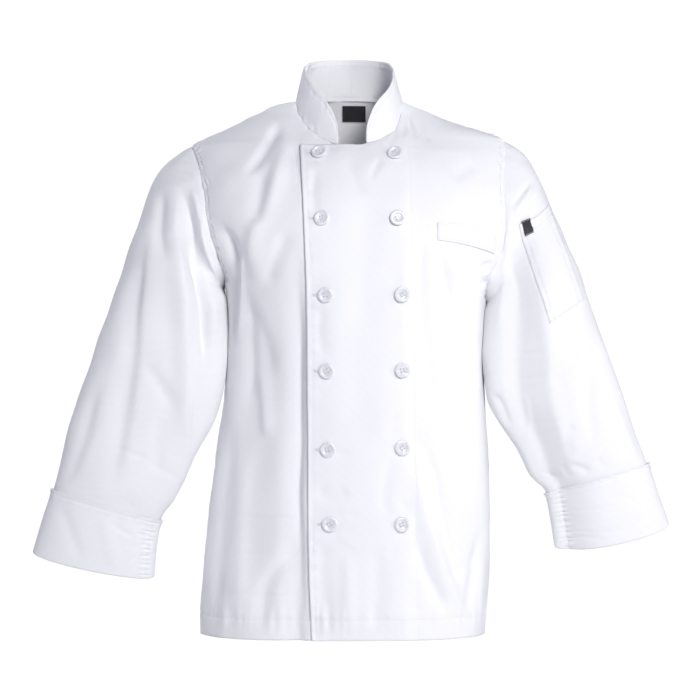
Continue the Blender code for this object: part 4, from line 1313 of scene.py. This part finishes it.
def stitch_tree():
    """Lays stitches along the edges of a mesh. Its vertices carry the direction away from the
    cloth as the attribute `facing`."""
    found = bpy.data.node_groups.get("stitch_row")
    if found:
        return found
    tree = bpy.data.node_groups.new("stitch_row", "GeometryNodeTree")
    kinds = {"Geometry": "Geometry", "Seed": "Int", "Thread": "Material"}
    for label in ("Geometry", "Pitch", "Length", "Width", "Turn", "Jitter", "Seed", "Thread"):
        kind = f"NodeSocket{kinds.get(label, 'Float')}"
        tree.interface.new_socket(label, in_out="INPUT", socket_type=kind)
    tree.interface.new_socket("Geometry", in_out="OUTPUT", socket_type="NodeSocketGeometry")
    start = add_node(tree, "NodeGroupInput")
    end = add_node(tree, "NodeGroupOutput")

    # Points one pitch apart, and a stitch scaled to its length and width
    curve = add_node(tree, "GeometryNodeMeshToCurve")
    even = add_node(tree, "GeometryNodeResampleCurve", mode="LENGTH")
    stitch = add_node(tree, "GeometryNodeMeshIcoSphere", Radius=0.5, Subdivisions=1)
    size = add_node(tree, "ShaderNodeCombineXYZ")
    scaled = add_node(tree, "GeometryNodeTransform")
    # Along the line and upright on the cloth
    tangent = add_node(tree, "GeometryNodeInputTangent")
    facing = add_node(tree, "GeometryNodeInputNamedAttribute", data_type="FLOAT_VECTOR")
    facing.inputs["Name"].default_value = "facing"
    ahead = add_node(tree, "FunctionNodeAlignRotationToVector", axis="X")
    upright = add_node(tree, "FunctionNodeAlignRotationToVector", axis="Z", pivot_axis="X")
    # Turned a little, each by an amount of its own
    random = add_node(tree, "FunctionNodeRandomValue", data_type="FLOAT")
    random.inputs[2].default_value = -1.0
    random.inputs[3].default_value = 1.0
    spread = add_node(tree, "ShaderNodeMath", operation="MULTIPLY")
    turn = add_node(tree, "ShaderNodeMath", operation="ADD")
    angles = add_node(tree, "ShaderNodeCombineXYZ")
    euler = add_node(tree, "FunctionNodeEulerToRotation")
    turned = add_node(tree, "FunctionNodeRotateRotation", rotation_space="LOCAL")
    laid = add_node(tree, "GeometryNodeInstanceOnPoints")
    real = add_node(tree, "GeometryNodeRealizeInstances")
    painted = add_node(tree, "GeometryNodeSetMaterial")
    wire(
        tree,
        (start, "Geometry", curve, "Mesh"),
        (curve, "Curve", even, "Curve"),
        (start, "Pitch", even, "Length"),
        (start, "Length", size, "X"),
        (start, "Width", size, "Y"),
        (start, "Width", size, "Z"),
        (stitch, "Mesh", scaled, "Geometry"),
        (size, "Vector", scaled, "Scale"),
        (tangent, "Tangent", ahead, "Vector"),
        (ahead, "Rotation", upright, "Rotation"),
        (facing, "Attribute", upright, "Vector"),
        (start, "Seed", random, "Seed"),
        (random, 1, spread, 0),
        (start, "Jitter", spread, 1),
        (spread, 0, turn, 0),
        (start, "Turn", turn, 1),
        (turn, 0, angles, "Z"),
        (angles, "Vector", euler, 0),
        (upright, "Rotation", turned, "Rotation"),
        (euler, 0, turned, "Rotate By"),
        (even, "Curve", laid, "Points"),
        (scaled, "Geometry", laid, "Instance"),
        (turned, "Rotation", laid, "Rotation"),
        (laid, "Instances", real, "Geometry"),
        (real, "Geometry", painted, "Geometry"),
        (start, "Thread", painted, "Material"),
        (painted, "Geometry", end, "Geometry"),
    )
    return tree


def plain_copy(obj):
    """Replaces the object's mesh by what its modifiers make of it, and removes them."""
    graph = bpy.context.evaluated_depsgraph_get()
    mesh = bpy.data.meshes.new_from_object(obj.evaluated_get(graph))
    obj.modifiers.clear()
    obj.data = mesh
    return obj


def add_stitches(name, lines, turn=0.0, pitch=None):
    """Sews along lines, each an array of points and one of directions away from the cloth."""
    settings = bpy.context.scene.jacket
    thread = bpy.data.materials["polyester_thread"]
    vertices, facings, edges = [], [], []
    for points, normals in lines:
        first = len(vertices)
        vertices += points.tolist()
        facings += normals.tolist()
        edges += [(first + i, first + i + 1) for i in range(len(points) - 1)]
    mesh = bpy.data.meshes.new(name)
    mesh.from_pydata(vertices, edges, [])
    facing = mesh.attributes.new("facing", "FLOAT_VECTOR", "POINT")
    facing.data.foreach_set("vector", np.array(facings, np.float32).ravel())
    obj = add_object(name, mesh)
    modifier = obj.modifiers.new("stitches", "NODES")
    modifier.node_group = stitch_tree()
    pitch = pitch or settings.stitch_pitch
    values = {
        "Pitch": pitch,
        "Length": CROSS_STITCH if turn else pitch * STITCH_SHARE,
        "Width": settings.stitch_width,
        "Turn": turn,
        "Jitter": STITCH_JITTER,
        "Seed": len(name),
        "Thread": thread,
    }
    for item in modifier.node_group.interface.items_tree:
        if item.in_out == "INPUT" and item.name in values:
            modifier[item.identifier] = values[item.name]
    plain_copy(obj)
    obj.data.shade_smooth()
    if not obj.data.materials:
        obj.data.materials.append(thread)
    if not obj.data.polygons:
        raise RuntimeError(f"{name} came out empty")
    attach(obj, "root")
    return obj


# Materials


def new_material(name, colour, roughness, **settings):
    """A material's node tree, its shader with these inputs set, and its coordinates."""
    material = bpy.data.materials.new(name)
    material.use_nodes = True
    tree = material.node_tree
    shader = tree.nodes["Principled BSDF"]
    shader.inputs["Base Color"].default_value = (*colour, 1)
    shader.inputs["Roughness"].default_value = roughness
    for key, value in settings.items():
        shader.inputs[key].default_value = value
    return tree, shader, add_node(tree, "ShaderNodeTexCoord")


def add_noise(tree, place, **settings):
    """A noise texture through the object."""
    noise = add_node(tree, "ShaderNodeTexNoise", **settings)
    wire(tree, (place, "Object", noise, "Vector"))
    return noise


def add_ribs(tree, place, direction, scale, **settings):
    """Ribs across the cloth's own map."""
    ribs = add_node(tree, "ShaderNodeTexWave", bands_direction=direction, Scale=scale, **settings)
    wire(tree, (place, "UV", ribs, "Vector"))
    return ribs


def add_bumps(tree, shader, *rows):
    """Bumps, one over another. A row gives a texture, the strength and the height in mm."""
    under = None
    for texture, strength, height in rows:
        bump = add_node(tree, "ShaderNodeBump", Strength=strength, Distance=height * MM)
        wire(tree, (texture, "Fac", bump, "Height"))
        if under:
            wire(tree, (under, "Normal", bump, "Normal"))
        under = bump
    wire(tree, (under, "Normal", shader, "Normal"))


def tint(tree, shader, colour, source, output, share=1.0):
    """Multiplies a colour by a node's output for the shader."""
    paint = add_node(tree, "ShaderNodeMix", data_type="RGBA", blend_type="MULTIPLY")
    paint.inputs["Factor"].default_value = share
    paint.inputs["A"].default_value = (*colour, 1)
    wire(tree, (source, output, paint, "B"), (paint, "Result", shader, "Base Color"))


def add_range(tree, source, output, low, high):
    """A value from 0 to 1 brought between low and high."""
    tone = add_node(tree, "ShaderNodeMapRange", **{"To Min": low, "To Max": high})
    wire(tree, (source, output, tone, "Value"))
    return tone


def white_cotton_twill(settings):
    """Bleached cotton twill: fine diagonal ribs, soft fibre grain and a faintly uneven white."""
    # Light comes through the cloth a little.
    inner_light = {
        "Subsurface Weight": 0.3,
        "Subsurface Radius": (1.0, 1.0, 1.0),
        "Subsurface Scale": 2 * MM,
    }
    sheen = {"Sheen Weight": 0.12, "Sheen Roughness": 0.5, "Specular IOR Level": 0.22}
    tree, shader, place = new_material(
        "white_cotton_twill", settings.cloth_colour, 0.86, **sheen, **inner_light
    )
    # Real ribs are 0.5 mm apart. They are drawn 4.4 mm apart, or they would not read.
    scale = WAVE_SCALE / (4.4 * MM) / math.sqrt(3)
    uneven = {"Distortion": 1.2, "Detail": 1.0, "Detail Scale": 0.6}
    ribs = add_ribs(tree, place, "DIAGONAL", scale, **uneven)
    grain = add_noise(tree, place, Scale=1400.0, Detail=3.0, Roughness=0.6)
    crumple = add_noise(tree, place, Scale=62.0, Detail=3.0, Roughness=0.55)
    clouds = add_noise(tree, place, Scale=7.0, Detail=2.0, Roughness=0.5)
    mixed = add_node(tree, "ShaderNodeMath", operation="MULTIPLY_ADD")
    mixed.inputs[1].default_value = 0.45
    wire(tree, (ribs, "Fac", mixed, 0), (clouds, "Fac", mixed, 2))
    tone = add_range(tree, mixed, 0, 0.983, 1.0)
    tint(tree, shader, settings.cloth_colour, tone, "Result")
    add_bumps(tree, shader, (crumple, 0.35, 0.55), (ribs, 0.07, 0.12), (grain, 0.20, 0.06))


def polyester_thread(settings):
    """Spun polyester thread: a little shinier and greyer than the cloth, with a twist."""
    tree, shader, place = new_material(
        "polyester_thread", settings.thread_colour, 0.55, **{"Sheen Weight": 0.1}
    )
    twist = add_noise(tree, place, Scale=2600.0, Detail=1.0)
    add_bumps(tree, shader, (twist, 0.4, 0.08))


def pearly_button_plastic(settings):
    """Cast polyester with a pearly cloud in it, polished."""
    coat = {"Coat Weight": 0.5, "Coat Roughness": 0.08}
    tree, shader, place = new_material(
        "pearly_button_plastic", settings.button_colour, 0.24, **coat
    )
    cloud = add_noise(tree, place, Scale=130.0, Detail=3.0, Distortion=1.6)
    ramp = add_node(tree, "ShaderNodeValToRGB")
    for stop, position, code in zip(ramp.color_ramp.elements, (0.32, 0.68), ("D6D8DE", "FAFAFA")):
        stop.position = position
        stop.color = (*linear(code), 1)
    wire(tree, (cloud, "Fac", ramp, "Fac"))
    tint(tree, shader, settings.button_colour, ramp, "Color", 0.6)
    scuff = add_noise(tree, place, Scale=900.0, Detail=2.0)
    add_bumps(tree, shader, (scuff, 0.06, 0.05))


def black_woven_label(settings):
    """Black satin label tape: close ribs across it and a dull gloss."""
    tree, shader, place = new_material(
        "black_woven_label", settings.label_colour, 0.55, **{"Sheen Weight": 0.3}
    )
    # Real ribs are 0.3 mm apart. They are drawn 0.9 mm apart.
    ribs = add_ribs(tree, place, "Y", WAVE_SCALE / (0.9 * MM), Distortion=0.4)
    tone = add_range(tree, ribs, "Fac", 0.7, 1.3)
    tint(tree, shader, settings.label_colour, tone, "Result")
    add_bumps(tree, shader, (ribs, 0.5, 0.12))


def pale_floor():
    """Matt white studio paper with a very slight grain."""
    tree, shader, place = new_material("pale_floor_paper", linear("FBFBFB"), 0.9)
    grain = add_noise(tree, place, Scale=40.0, Detail=2.0)
    add_bumps(tree, shader, (grain, 0.05, 0.2))
    return bpy.data.materials["pale_floor_paper"]


# The pieces


def add_sewn(piece, points, thickness, lines, finish=TWILL, rests_on=(), **shape):
    """A piece of cloth on a grid of points with stitches along these lines, cut from its finish,
    which stands for the solid of the same name. rests_on, what it rides on, is not used."""
    material, slot, pitch = finish
    obj = add_cloth(f"{piece}_cloth", points, thickness, bpy.data.materials[material], **shape)
    sewing = [add_stitches(f"{piece}_stitching", lines, pitch=pitch)]
    if piece == "front_left":
        sewing.append(add_buttonholes(thickness / 2 + STITCH_STAND))
    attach(obj, "root")
    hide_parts(piece)


def add_piece(piece, points, thickness, place, stand, **shape):
    """A piece with its own seams stitched, which `place` lays this high on it."""
    lines = [place(piece, *line_on(piece, line), stand) for line in stitched(piece)]
    add_sewn(piece, points, thickness, lines, **shape)


def add_panel(piece, grid, thickness, **shape):
    """One front or the back."""
    points, _ = on_body(piece, grid[..., 0], grid[..., 1], 0)
    add_piece(piece, points, thickness, on_body, thickness / 2 + STITCH_STAND, **shape)


def around():
    """The angles round a sleeve or cuff."""
    return np.linspace(0, 2 * np.pi, SLEEVE_COLUMNS, endpoint=False)[None, :]


def stitched(piece):
    """The names of a piece's lines that carry stitches."""
    return [line for line, *_ in SEAMS[piece] if any(word in line for word in STITCHED)]


class JACKET_OT_materials(bpy.types.Operator):
    """Make the cloth, thread, button and label materials from the chosen colours"""

    bl_idname = "jacket.materials"
    bl_label = "Materials"

    def execute(self, context):
        settings = context.scene.jacket
        white_cotton_twill(settings)
        polyester_thread(settings)
        pearly_button_plastic(settings)
        black_woven_label(settings)
        return {"FINISHED"}


class JACKET_OT_fronts(bpy.types.Operator):
    """Make both fronts, the left one lying over the right one, with their stitching"""

    bl_idname = "jacket.fronts"
    bl_label = "Fronts"

    def execute(self, context):
        thickness = context.scene.jacket.cloth_thickness
        for name in ("left", "right"):
            grid, first = front_grid(name)
            add_panel(f"front_{name}", grid, thickness, flip=name == "right", first=first)
        return {"FINISHED"}


def add_buttonholes(stand):
    """Bound slits beside the buttons near the left front's edge, worked in close stitches."""
    lines = []
    for _, x, z, _ in BUTTONS[:6]:
        across = np.linspace(BUTTONHOLE[0], BUTTONHOLE[1], 14) * MM + x * MM
        for side in (-1, 1):
            height = across * 0 + z * MM + side * BUTTONHOLE_HALF
            lines.append(on_body("front_left", body_angle(across, height), height, stand))
    return add_stitches("buttonholes", lines, turn=math.pi / 2, pitch=BUTTONHOLE_PITCH)


class JACKET_OT_back(bpy.types.Operator):
    """Make the one-piece back with its stitching"""

    bl_idname = "jacket.back"
    bl_label = "Back"

    def execute(self, context):
        add_panel("back", back_grid(), context.scene.jacket.cloth_thickness)
        return {"FINISHED"}


class JACKET_OT_sleeves(bpy.types.Operator):
    """Make both sleeves, eased into the armholes, with their underarm seams"""

    bl_idname = "jacket.sleeves"
    bl_label = "Sleeves"

    def execute(self, context):
        thickness = context.scene.jacket.cloth_thickness
        stand = thickness / 2 + STITCH_STAND
        crown = np.linspace(0, 1, CROWN_ROWS, endpoint=False)
        arm = np.linspace(1, CUFF_BOTTOM - SLEEVE_END, ARM_ROWS)
        along = np.concatenate([crown, arm])[:, None]
        for name in ("left", "right"):
            piece, flip = f"sleeve_{name}", name == "right"
            points, _ = on_sleeve(piece, around(), along, 0)
            points = kept_off_body(name, points, along, thickness + CLEAR_OF_BODY)
            add_piece(piece, points, thickness, on_sleeve, stand, closed=True, flip=flip)
        return {"FINISHED"}


class JACKET_OT_cuffs(bpy.types.Operator):
    """Make the turned-back cuffs, open at their upper edge, with the lip inside the sleeve"""

    bl_idname = "jacket.cuffs"
    bl_label = "Cuffs"

    def execute(self, context):
        settings = context.scene.jacket
        thickness = settings.cuff_thickness
        layer = settings.cloth_thickness / 2 + thickness / 2 + CUFF_STAND
        stand = layer + thickness / 2 + STITCH_STAND
        turn = np.radians(np.linspace(0, 180, 11))
        outer = np.linspace(CUFF_TOP, CUFF_BOTTOM, CUFF_ROWS)[:-1]
        lip = np.linspace(CUFF_BOTTOM, CUFF_BOTTOM - CUFF_LIP / ROW_LENGTH, 8)[1:]
        along = np.concatenate([outer, CUFF_BOTTOM + np.sin(turn) * layer / ROW_LENGTH, lip])
        # The upper edge stands off the sleeve a little.
        flare = CUFF_FLARE * hill(outer - CUFF_TOP, CUFF_FLARE_ROWS)
        out = np.concatenate([layer + flare, np.cos(turn) * layer, lip * 0 - layer])
        for name in ("left", "right"):
            piece, flip = f"cuff_{name}", name == "right"
            points, _ = on_sleeve(piece, around(), along[:, None], out[:, None])
            add_piece(piece, points, thickness, on_sleeve, stand, closed=True, flip=flip)
        return {"FINISHED"}


class JACKET_OT_collar(bpy.types.Operator):
    """Make the stand collar with its rounded ends and edge stitching"""

    bl_idname = "jacket.collar"
    bl_label = "Collar"

    def execute(self, context):
        thickness = context.scene.jacket.collar_thickness
        out = thickness / 2 + STITCH_STAND
        u = np.linspace(0, 1, COLLAR_COLUMNS + 1)
        # Closer together at both rounded ends
        share = (u - 0.75 * np.sin(2 * np.pi * u) / (2 * np.pi))[None, :]
        up = np.linspace(0, 1, COLLAR_ROWS + 1)[:, None]
        points, _ = collar_point(*np.broadcast_arrays(share, up), 0)
        # Along the upper edge on both faces
        at = np.linspace(0.028, 0.972, 260)
        whole, _ = collar_point(at, at * 0 + 1, 0)
        foot, _ = collar_point(at, at * 0, 0)
        level = 1 - COLLAR_STITCH / np.linalg.norm(whole - foot, axis=1)
        lines = []
        for side in (1, -1):
            place, normals = collar_point(at, level, side * out)
            lines.append((place, normals * side))
        # Inside, along the foot behind and round the patch that is sewn there
        at = np.linspace(0.4, 0.6, 400)
        x = collar_point(at, at * 0 + 0.5, 0)[0][:, 0]
        first, last, top = COLLAR_HANGER
        ends = [at[np.abs(x - value).argmin()] for value in (first, last)]
        foot_at = np.linspace(0.38, 0.62, 60)
        up = np.linspace(0.08, top, 12)
        rim = [(foot_at, foot_at * 0 + 0.13)] + [(up * 0 + end, up) for end in ends]
        for at, up in [*rim, (np.linspace(*ends, 14), top + np.zeros(14))]:
            place, normals = collar_point(at, up, -out)
            lines.append((place, -normals))
        add_sewn("collar", points, thickness, lines, flip=True)
        return {"FINISHED"}


def patch(corners, across, up, bow):
    """x and z over a four-sided patch, its upper edge bowed down by `bow`."""
    corner = {key: np.array(value) * MM for key, value in corners.items()}
    u, v = np.broadcast_arrays(np.asarray(across, float), np.asarray(up, float))
    u, v = u[..., None], v[..., None]
    low = corner["bottom_inner"] * (1 - u) + corner["bottom_outer"] * u
    high = corner["top_inner"] * (1 - u) + corner["top_outer"] * u
    high = high - np.array([0, 1]) * bow * np.sin(np.pi * u)
    place = low + (high - low) * v
    return place[..., 0], place[..., 1]


def on_pocket(u, v, out):
    """Points of the sleeve pocket's cloth at these shares across and up it."""
    u, v = np.broadcast_arrays(np.asarray(u, float), np.asarray(v, float))
    angle, along = sleeve_parameters("left", *patch(SLEEVE_POCKET, u, v, SLEEVE_POCKET_BOW))
    swell = POCKET_SWELL * np.sin(np.pi * u) * soft_step(0.05, 0.5, v)
    from_stitch = np.minimum(u, 1 - u) * POCKET_WIDTH - POCKET_STITCH
    ripple = wobble(v * 17, 71) + 0.5 * wobble(v * 39, 72)
    pucker = 0.5 * MM * ripple * hill(from_stitch, 6)
    groove = -POCKET_GROOVE * hill(from_stitch, 1.8)
    mouth = -POCKET_GROOVE * hill((1 - v) * POCKET_HEIGHT - POCKET_MOUTH, 1.8)
    return on_sleeve("sleeve_left", angle, along, swell + pucker + groove + mouth + out)


def add_welt(cloth):
    """The breast pocket's welt. Its lower edge is sewn down and its mouth gapes a little."""
    rows = [(i, *row) for i, row in enumerate(WELT)]
    x, top, bottom = smooth(rows, np.linspace(0, len(WELT) - 1, 70)).T * MM
    v = np.linspace(0, 1, 24)[:, None]
    z = top * v + bottom * (1 - v)
    ripple = wobble((x + v * 0) / (9 * MM), 61) * WELT_STAND * hill(v, 0.35)
    out = cloth / 2 + POCKET_WALL / 2 + WELT_STAND + WELT_GAPE * v**2 + ripple
    points, _ = on_body("front_left", body_angle(x + v * 0, z), z, out)
    lines = []
    for share in (0.16, 0.84):
        height = top * share + bottom * (1 - share)
        level = cloth / 2 + POCKET_WALL + WELT_STAND + WELT_GAPE * share**2 + STITCH_STAND
        lines.append(on_body("front_left", body_angle(x, height), height, level))
    for column in (2, -3):
        height = np.linspace(bottom[column], top[column], 12)
        level = cloth / 2 + POCKET_WALL + 0.7 * MM + STITCH_STAND
        angle = body_angle(height * 0 + x[column], height)
        lines.append(on_body("front_left", angle, height, level))
    under = ["front_left_cloth"]
    add_sewn("chest_pocket_welt", points, POCKET_WALL, lines, rests_on=under)


def add_sleeve_pocket(cloth):
    """The patch pocket on the left sleeve, stitched twice down both sides."""
    u, v = np.linspace(0, 1, 54)[None, :], np.linspace(0, 1, 100)[:, None]
    stand = cloth / 2 + POCKET_WALL / 2 + 0.3 * MM
    points, _ = on_pocket(u, v, stand)
    level = stand + POCKET_WALL / 2 + STITCH_STAND
    along = np.linspace(0.01, 0.99, 70)
    lines = [on_pocket(along * 0 + side, along, level) for side in (0.13, 0.87, 0.03, 0.97)]
    lines += [on_pocket(along, along * 0 + height, level) for height in (0.913, 0.02)]
    add_sewn("sleeve_pocket", points, POCKET_WALL, lines, rests_on=["sleeve_left_cloth"])


class JACKET_OT_pockets(bpy.types.Operator):
    """Make the breast pocket's welt and the patch pocket on the left sleeve"""

    bl_idname = "jacket.pockets"
    bl_label = "Pockets"

    def execute(self, context):
        add_welt(context.scene.jacket.cloth_thickness)
        add_sleeve_pocket(context.scene.jacket.cloth_thickness)
        return {"FINISHED"}


def add_sleeve_label(cloth, u, v):
    """The small label beside the sleeve pocket, sewn down at both ends."""
    angle, along = sleeve_parameters("left", *patch(SLEEVE_LABEL, u, v, 0))
    bend = 0.5 * MM * np.sin(np.pi * u) + v * 0
    out = cloth / 2 + POCKET_WALL + 0.95 * MM + LABEL_THICKNESS / 2 + bend
    points, _ = on_sleeve("sleeve_left", angle, along, out)
    lift = LABEL_THICKNESS / 2
    lines = [on_sleeve("sleeve_left", angle[i], along[i], out[i] + lift) for i in (1, -2)]
    under = ["sleeve_left_cloth"]
    add_sewn("sleeve_label", points, LABEL_THICKNESS, lines, finish=LABEL_TAPE, rests_on=under)


def add_neck_label(cloth, u, v):
    """The label inside the back of the neck. Pale thread runs right round it."""
    x = NECK_LABEL_MIDDLE + NECK_LABEL_HALF_WIDTH * (1 - 2 * u)
    z = NECK_LABEL_BOTTOM + (NECK_LABEL_TOP - NECK_LABEL_BOTTOM) * v
    x, z = np.broadcast_arrays(x, z)
    bend = 0.9 * MM * np.sin(np.pi * v) * (1 - v) + u * 0
    out = cloth / 2 + LABEL_THICKNESS / 2 + 0.3 * MM + bend
    points, normals = on_body("back", np.pi - body_angle(x, z), z, -out)
    face, away = points - normals * LABEL_THICKNESS / 2, -normals
    rim = [(face[k], away[k]) for k in (0, -1)] + [(face[:, k], away[:, k]) for k in (0, -1)]
    under = ["back_cloth"]
    add_sewn("neck_label", points, LABEL_THICKNESS, rim, finish=LABEL_TAPE, rests_on=under)


class JACKET_OT_labels(bpy.types.Operator):
    """Make the two bare black labels, inside the neck and beside the sleeve pocket"""

    bl_idname = "jacket.labels"
    bl_label = "Labels"

    def execute(self, context):
        cloth = context.scene.jacket.cloth_thickness
        u, v = np.linspace(0, 1, 22)[None, :], np.linspace(0, 1, 18)[:, None]
        add_sleeve_label(cloth, u, v)
        add_neck_label(cloth, u, v)
        return {"FINISHED"}


def to_mesh(shape, name):
    """A mesh of this name made from a bmesh, which is freed."""
    mesh = bpy.data.meshes.new(name)
    shape.to_mesh(mesh)
    shape.free()
    return mesh


def button_mesh():
    """A turned four-hole button with a raised rim, lying on its back at the origin."""
    shape = bmesh.new()
    ring = [shape.verts.new((radius * MM, 0, height * MM)) for radius, height in BUTTON_PROFILE]
    edges = [shape.edges.new(pair) for pair in zip(ring[:-1], ring[1:])]
    turn = {"axis": (0, 0, 1), "cent": (0, 0, 0), "angle": 2 * math.pi, "steps": BUTTON_SIDES}
    bmesh.ops.spin(shape, geom=ring + edges, use_duplicate=False, **turn)
    bmesh.ops.remove_doubles(shape, verts=shape.verts, dist=0.01 * MM)
    bmesh.ops.recalc_face_normals(shape, faces=shape.faces)
    button = add_object("button", to_mesh(shape, "button"))
    drill = bmesh.new()
    half = HOLE_SPACING / 2
    for x in (-half, half):
        for y in (-half, half):
            place = Matrix.Translation((x, y, 0))
            size = {"radius1": HOLE_RADIUS, "radius2": HOLE_RADIUS, "depth": 12 * MM}
            bmesh.ops.create_cone(drill, cap_ends=True, segments=12, matrix=place, **size)
    cutter = add_object("holes", to_mesh(drill, "holes"))
    cut = button.modifiers.new("holes", "BOOLEAN")
    cut.operation = "DIFFERENCE"
    cut.solver = "EXACT"
    cut.object = cutter
    plain_copy(button)
    bpy.data.objects.remove(cutter)
    result = button.data
    bpy.data.objects.remove(button)
    return result


def thread_mesh():
    """Bars of sewing thread over the middle of a button, dipping into its holes."""
    shape = bmesh.new()
    half = HOLE_SPACING / 2
    for x in (-half, half):
        for strand in (-1, 0, 1):
            rings = []
            for share in np.linspace(-1, 1, 13):
                y = share * (half + 0.5 * MM)
                z = BUTTON_FLOOR + 0.7 * MM - 2.6 * MM * max(0.0, abs(share) - 0.72) / 0.28
                turned = []
                for k in range(6):
                    turn = 2 * math.pi * k / 6
                    sideways = x + strand * STRAND_STEP + STRAND_RADIUS * math.cos(turn)
                    up = z + STRAND_RADIUS * math.sin(turn)
                    turned.append(shape.verts.new((sideways, y, up)))
                rings.append(turned)
            for first, second in zip(rings[:-1], rings[1:]):
                for k in range(6):
                    after = (k + 1) % 6
                    shape.faces.new((first[k], first[after], second[after], second[k]))
            shape.faces.new(rings[0][::-1])
            shape.faces.new(rings[-1])
    bmesh.ops.recalc_face_normals(shape, faces=shape.faces)
    return to_mesh(shape, "thread")


def button_place(node, x, z, lean, cloth):
    """Where a button sits on the left front, as a matrix."""
    x, z = np.array([x * MM]), np.array([z * MM])
    out = cloth / 2 + BUTTON_STAND - BUTTON_PROFILE[-1][1] * MM
    out += abs(math.sin(math.radians(lean))) * BUTTON_RADIUS
    point, normal = on_body("front_left", body_angle(x, z), z, out)
    point = point + normal * 0.16 * abs(normal[0][2]) * BUTTON_RADIUS
    # The thread lets the top buttons lie a little flatter than the cloth under them.
    level = Vector(normal[0]) + Vector((0, -BUTTON_LEVEL * normal[0][2], 0))
    facing = level.to_track_quat("Z", "Y").to_matrix().to_4x4()
    tip = Matrix.Rotation(math.radians(lean), 4, "Z")
    # Each is sewn on at an angle of its own, up to 40 degrees.
    twist = Matrix.Rotation(math.radians(7 * (len(node) + 3 * int(node[-1])) % 40), 4, "Z")
    return Matrix.Translation(Vector(point[0])) @ tip @ facing @ twist


class JACKET_OT_buttons(bpy.types.Operator):
    """Make the twelve four-hole buttons and the thread that holds them"""

    bl_idname = "jacket.buttons"
    bl_label = "Buttons"

    def execute(self, context):
        places = [button_place(*row, context.scene.jacket.cloth_thickness) for row in BUTTONS]
        for name, source, finish, slot in (
            ("buttons", button_mesh(), "pearly_button_plastic", "button_plastic"),
            ("button_thread", thread_mesh(), "polyester_thread", "white_twill"),
        ):
            joined = bmesh.new()
            for place in places:
                copy = source.copy()
                copy.transform(place)
                joined.from_mesh(copy)
                bpy.data.meshes.remove(copy)
            mesh = to_mesh(joined, name)
            mesh.shade_smooth()
            obj = add_object(name, mesh, bpy.data.materials[finish])
            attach(obj, "root")
            if name == "buttons":
                mesh.set_sharp_from_angle(angle=math.radians(38))
                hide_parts(*(row[0] for row in BUTTONS))
        return {"FINISHED"}


class JACKET_OT_studio(bpy.types.Operator):
    """Make the pale floor, the soft lights, the white surround and the camera"""

    bl_idname = "jacket.studio"
    bl_label = "Studio"

    def execute(self, context):
        studio = context.scene.jacket_studio
        shape = bmesh.new()
        bmesh.ops.create_grid(shape, x_segments=8, y_segments=8, size=FLOOR_HALF)
        bmesh.ops.translate(shape, verts=shape.verts, vec=(0, 0, FLOOR_HEIGHT))
        add_object("floor", to_mesh(shape, "floor"), pale_floor())
        for name, place, size in LIGHTS:
            lamp = bpy.data.lights.new(name, "AREA")
            lamp.energy = getattr(studio, f"{name}_power")
            lamp.size = size
            light = bpy.data.objects.new(name, lamp)
            light.location = place
            towards = Vector((0, 0, MIDDLE_HEIGHT)) - Vector(place)
            light.rotation_euler = towards.to_track_quat("-Z", "Y").to_euler()
            context.scene.collection.objects.link(light)
        world = bpy.data.worlds.new("white_room")
        world.use_nodes = True
        # The room itself shows as plain white, brighter than the light that it gives.
        tree = world.node_tree
        surround = tree.nodes["Background"]
        surround.inputs["Color"].default_value = (*studio.sky_colour, 1)
        surround.inputs["Strength"].default_value = studio.sky_strength
        white = {"Color": (1, 1, 1, 1), "Strength": 1.05}
        backdrop = add_node(tree, "ShaderNodeBackground", **white)
        ray = add_node(tree, "ShaderNodeLightPath")
        mixed = add_node(tree, "ShaderNodeMixShader")
        wire(
            tree,
            (ray, "Is Camera Ray", mixed, 0),
            (surround, 0, mixed, 1),
            (backdrop, 0, mixed, 2),
            (mixed, 0, tree.nodes["World Output"], "Surface"),
        )
        context.scene.world = world
        context.scene.view_settings.view_transform = "Standard"
        lens = bpy.data.cameras.new("camera")
        lens.lens = CAMERA_LENS
        lens.sensor_width = 36
        camera = bpy.data.objects.new("camera", lens)
        camera.location = CAMERA_PLACE
        camera.rotation_euler = (math.pi / 2, 0, 0)
        context.scene.collection.objects.link(camera)
        context.scene.camera = camera
        return {"FINISHED"}


class JACKET_PT_sidebar(bpy.types.Panel):
    bl_idname = "JACKET_PT_sidebar"
    bl_label = "Chef Jacket"
    bl_space_type = "VIEW_3D"
    bl_region_type = "UI"
    bl_category = "Jacket"

    def draw(self, context):
        for group in (context.scene.jacket, context.scene.jacket_studio):
            box = self.layout.box()
            for key in group.bl_rna.properties.keys():
                if key not in ("rna_type", "name"):
                    box.prop(group, key)
        column = self.layout.column()
        for operator in OPERATORS:
            column.operator(operator.bl_idname)


OPERATORS = (
    JACKET_OT_materials,
    JACKET_OT_fronts,
    JACKET_OT_back,
    JACKET_OT_sleeves,
    JACKET_OT_cuffs,
    JACKET_OT_collar,
    JACKET_OT_pockets,
    JACKET_OT_labels,
    JACKET_OT_buttons,
    JACKET_OT_studio,
)
CLASSES = (JacketSettings, StudioSettings, *OPERATORS, JACKET_PT_sidebar)


def register():
    for item in CLASSES:
        bpy.utils.register_class(item)
    bpy.types.Scene.jacket = bpy.props.PointerProperty(type=JacketSettings)
    bpy.types.Scene.jacket_studio = bpy.props.PointerProperty(type=StudioSettings)


def unregister():
    del bpy.types.Scene.jacket_studio
    del bpy.types.Scene.jacket
    for item in reversed(CLASSES):
        bpy.utils.unregister_class(item)


def main():
    register()
    bpy.ops.jacket.materials()
    bpy.ops.jacket.fronts()
    bpy.ops.jacket.back()
    bpy.ops.jacket.sleeves()
    bpy.ops.jacket.cuffs()
    bpy.ops.jacket.collar()
    bpy.ops.jacket.pockets()
    bpy.ops.jacket.labels()
    bpy.ops.jacket.buttons()
    bpy.ops.jacket.studio()


if __name__ == "__main__":
    main()
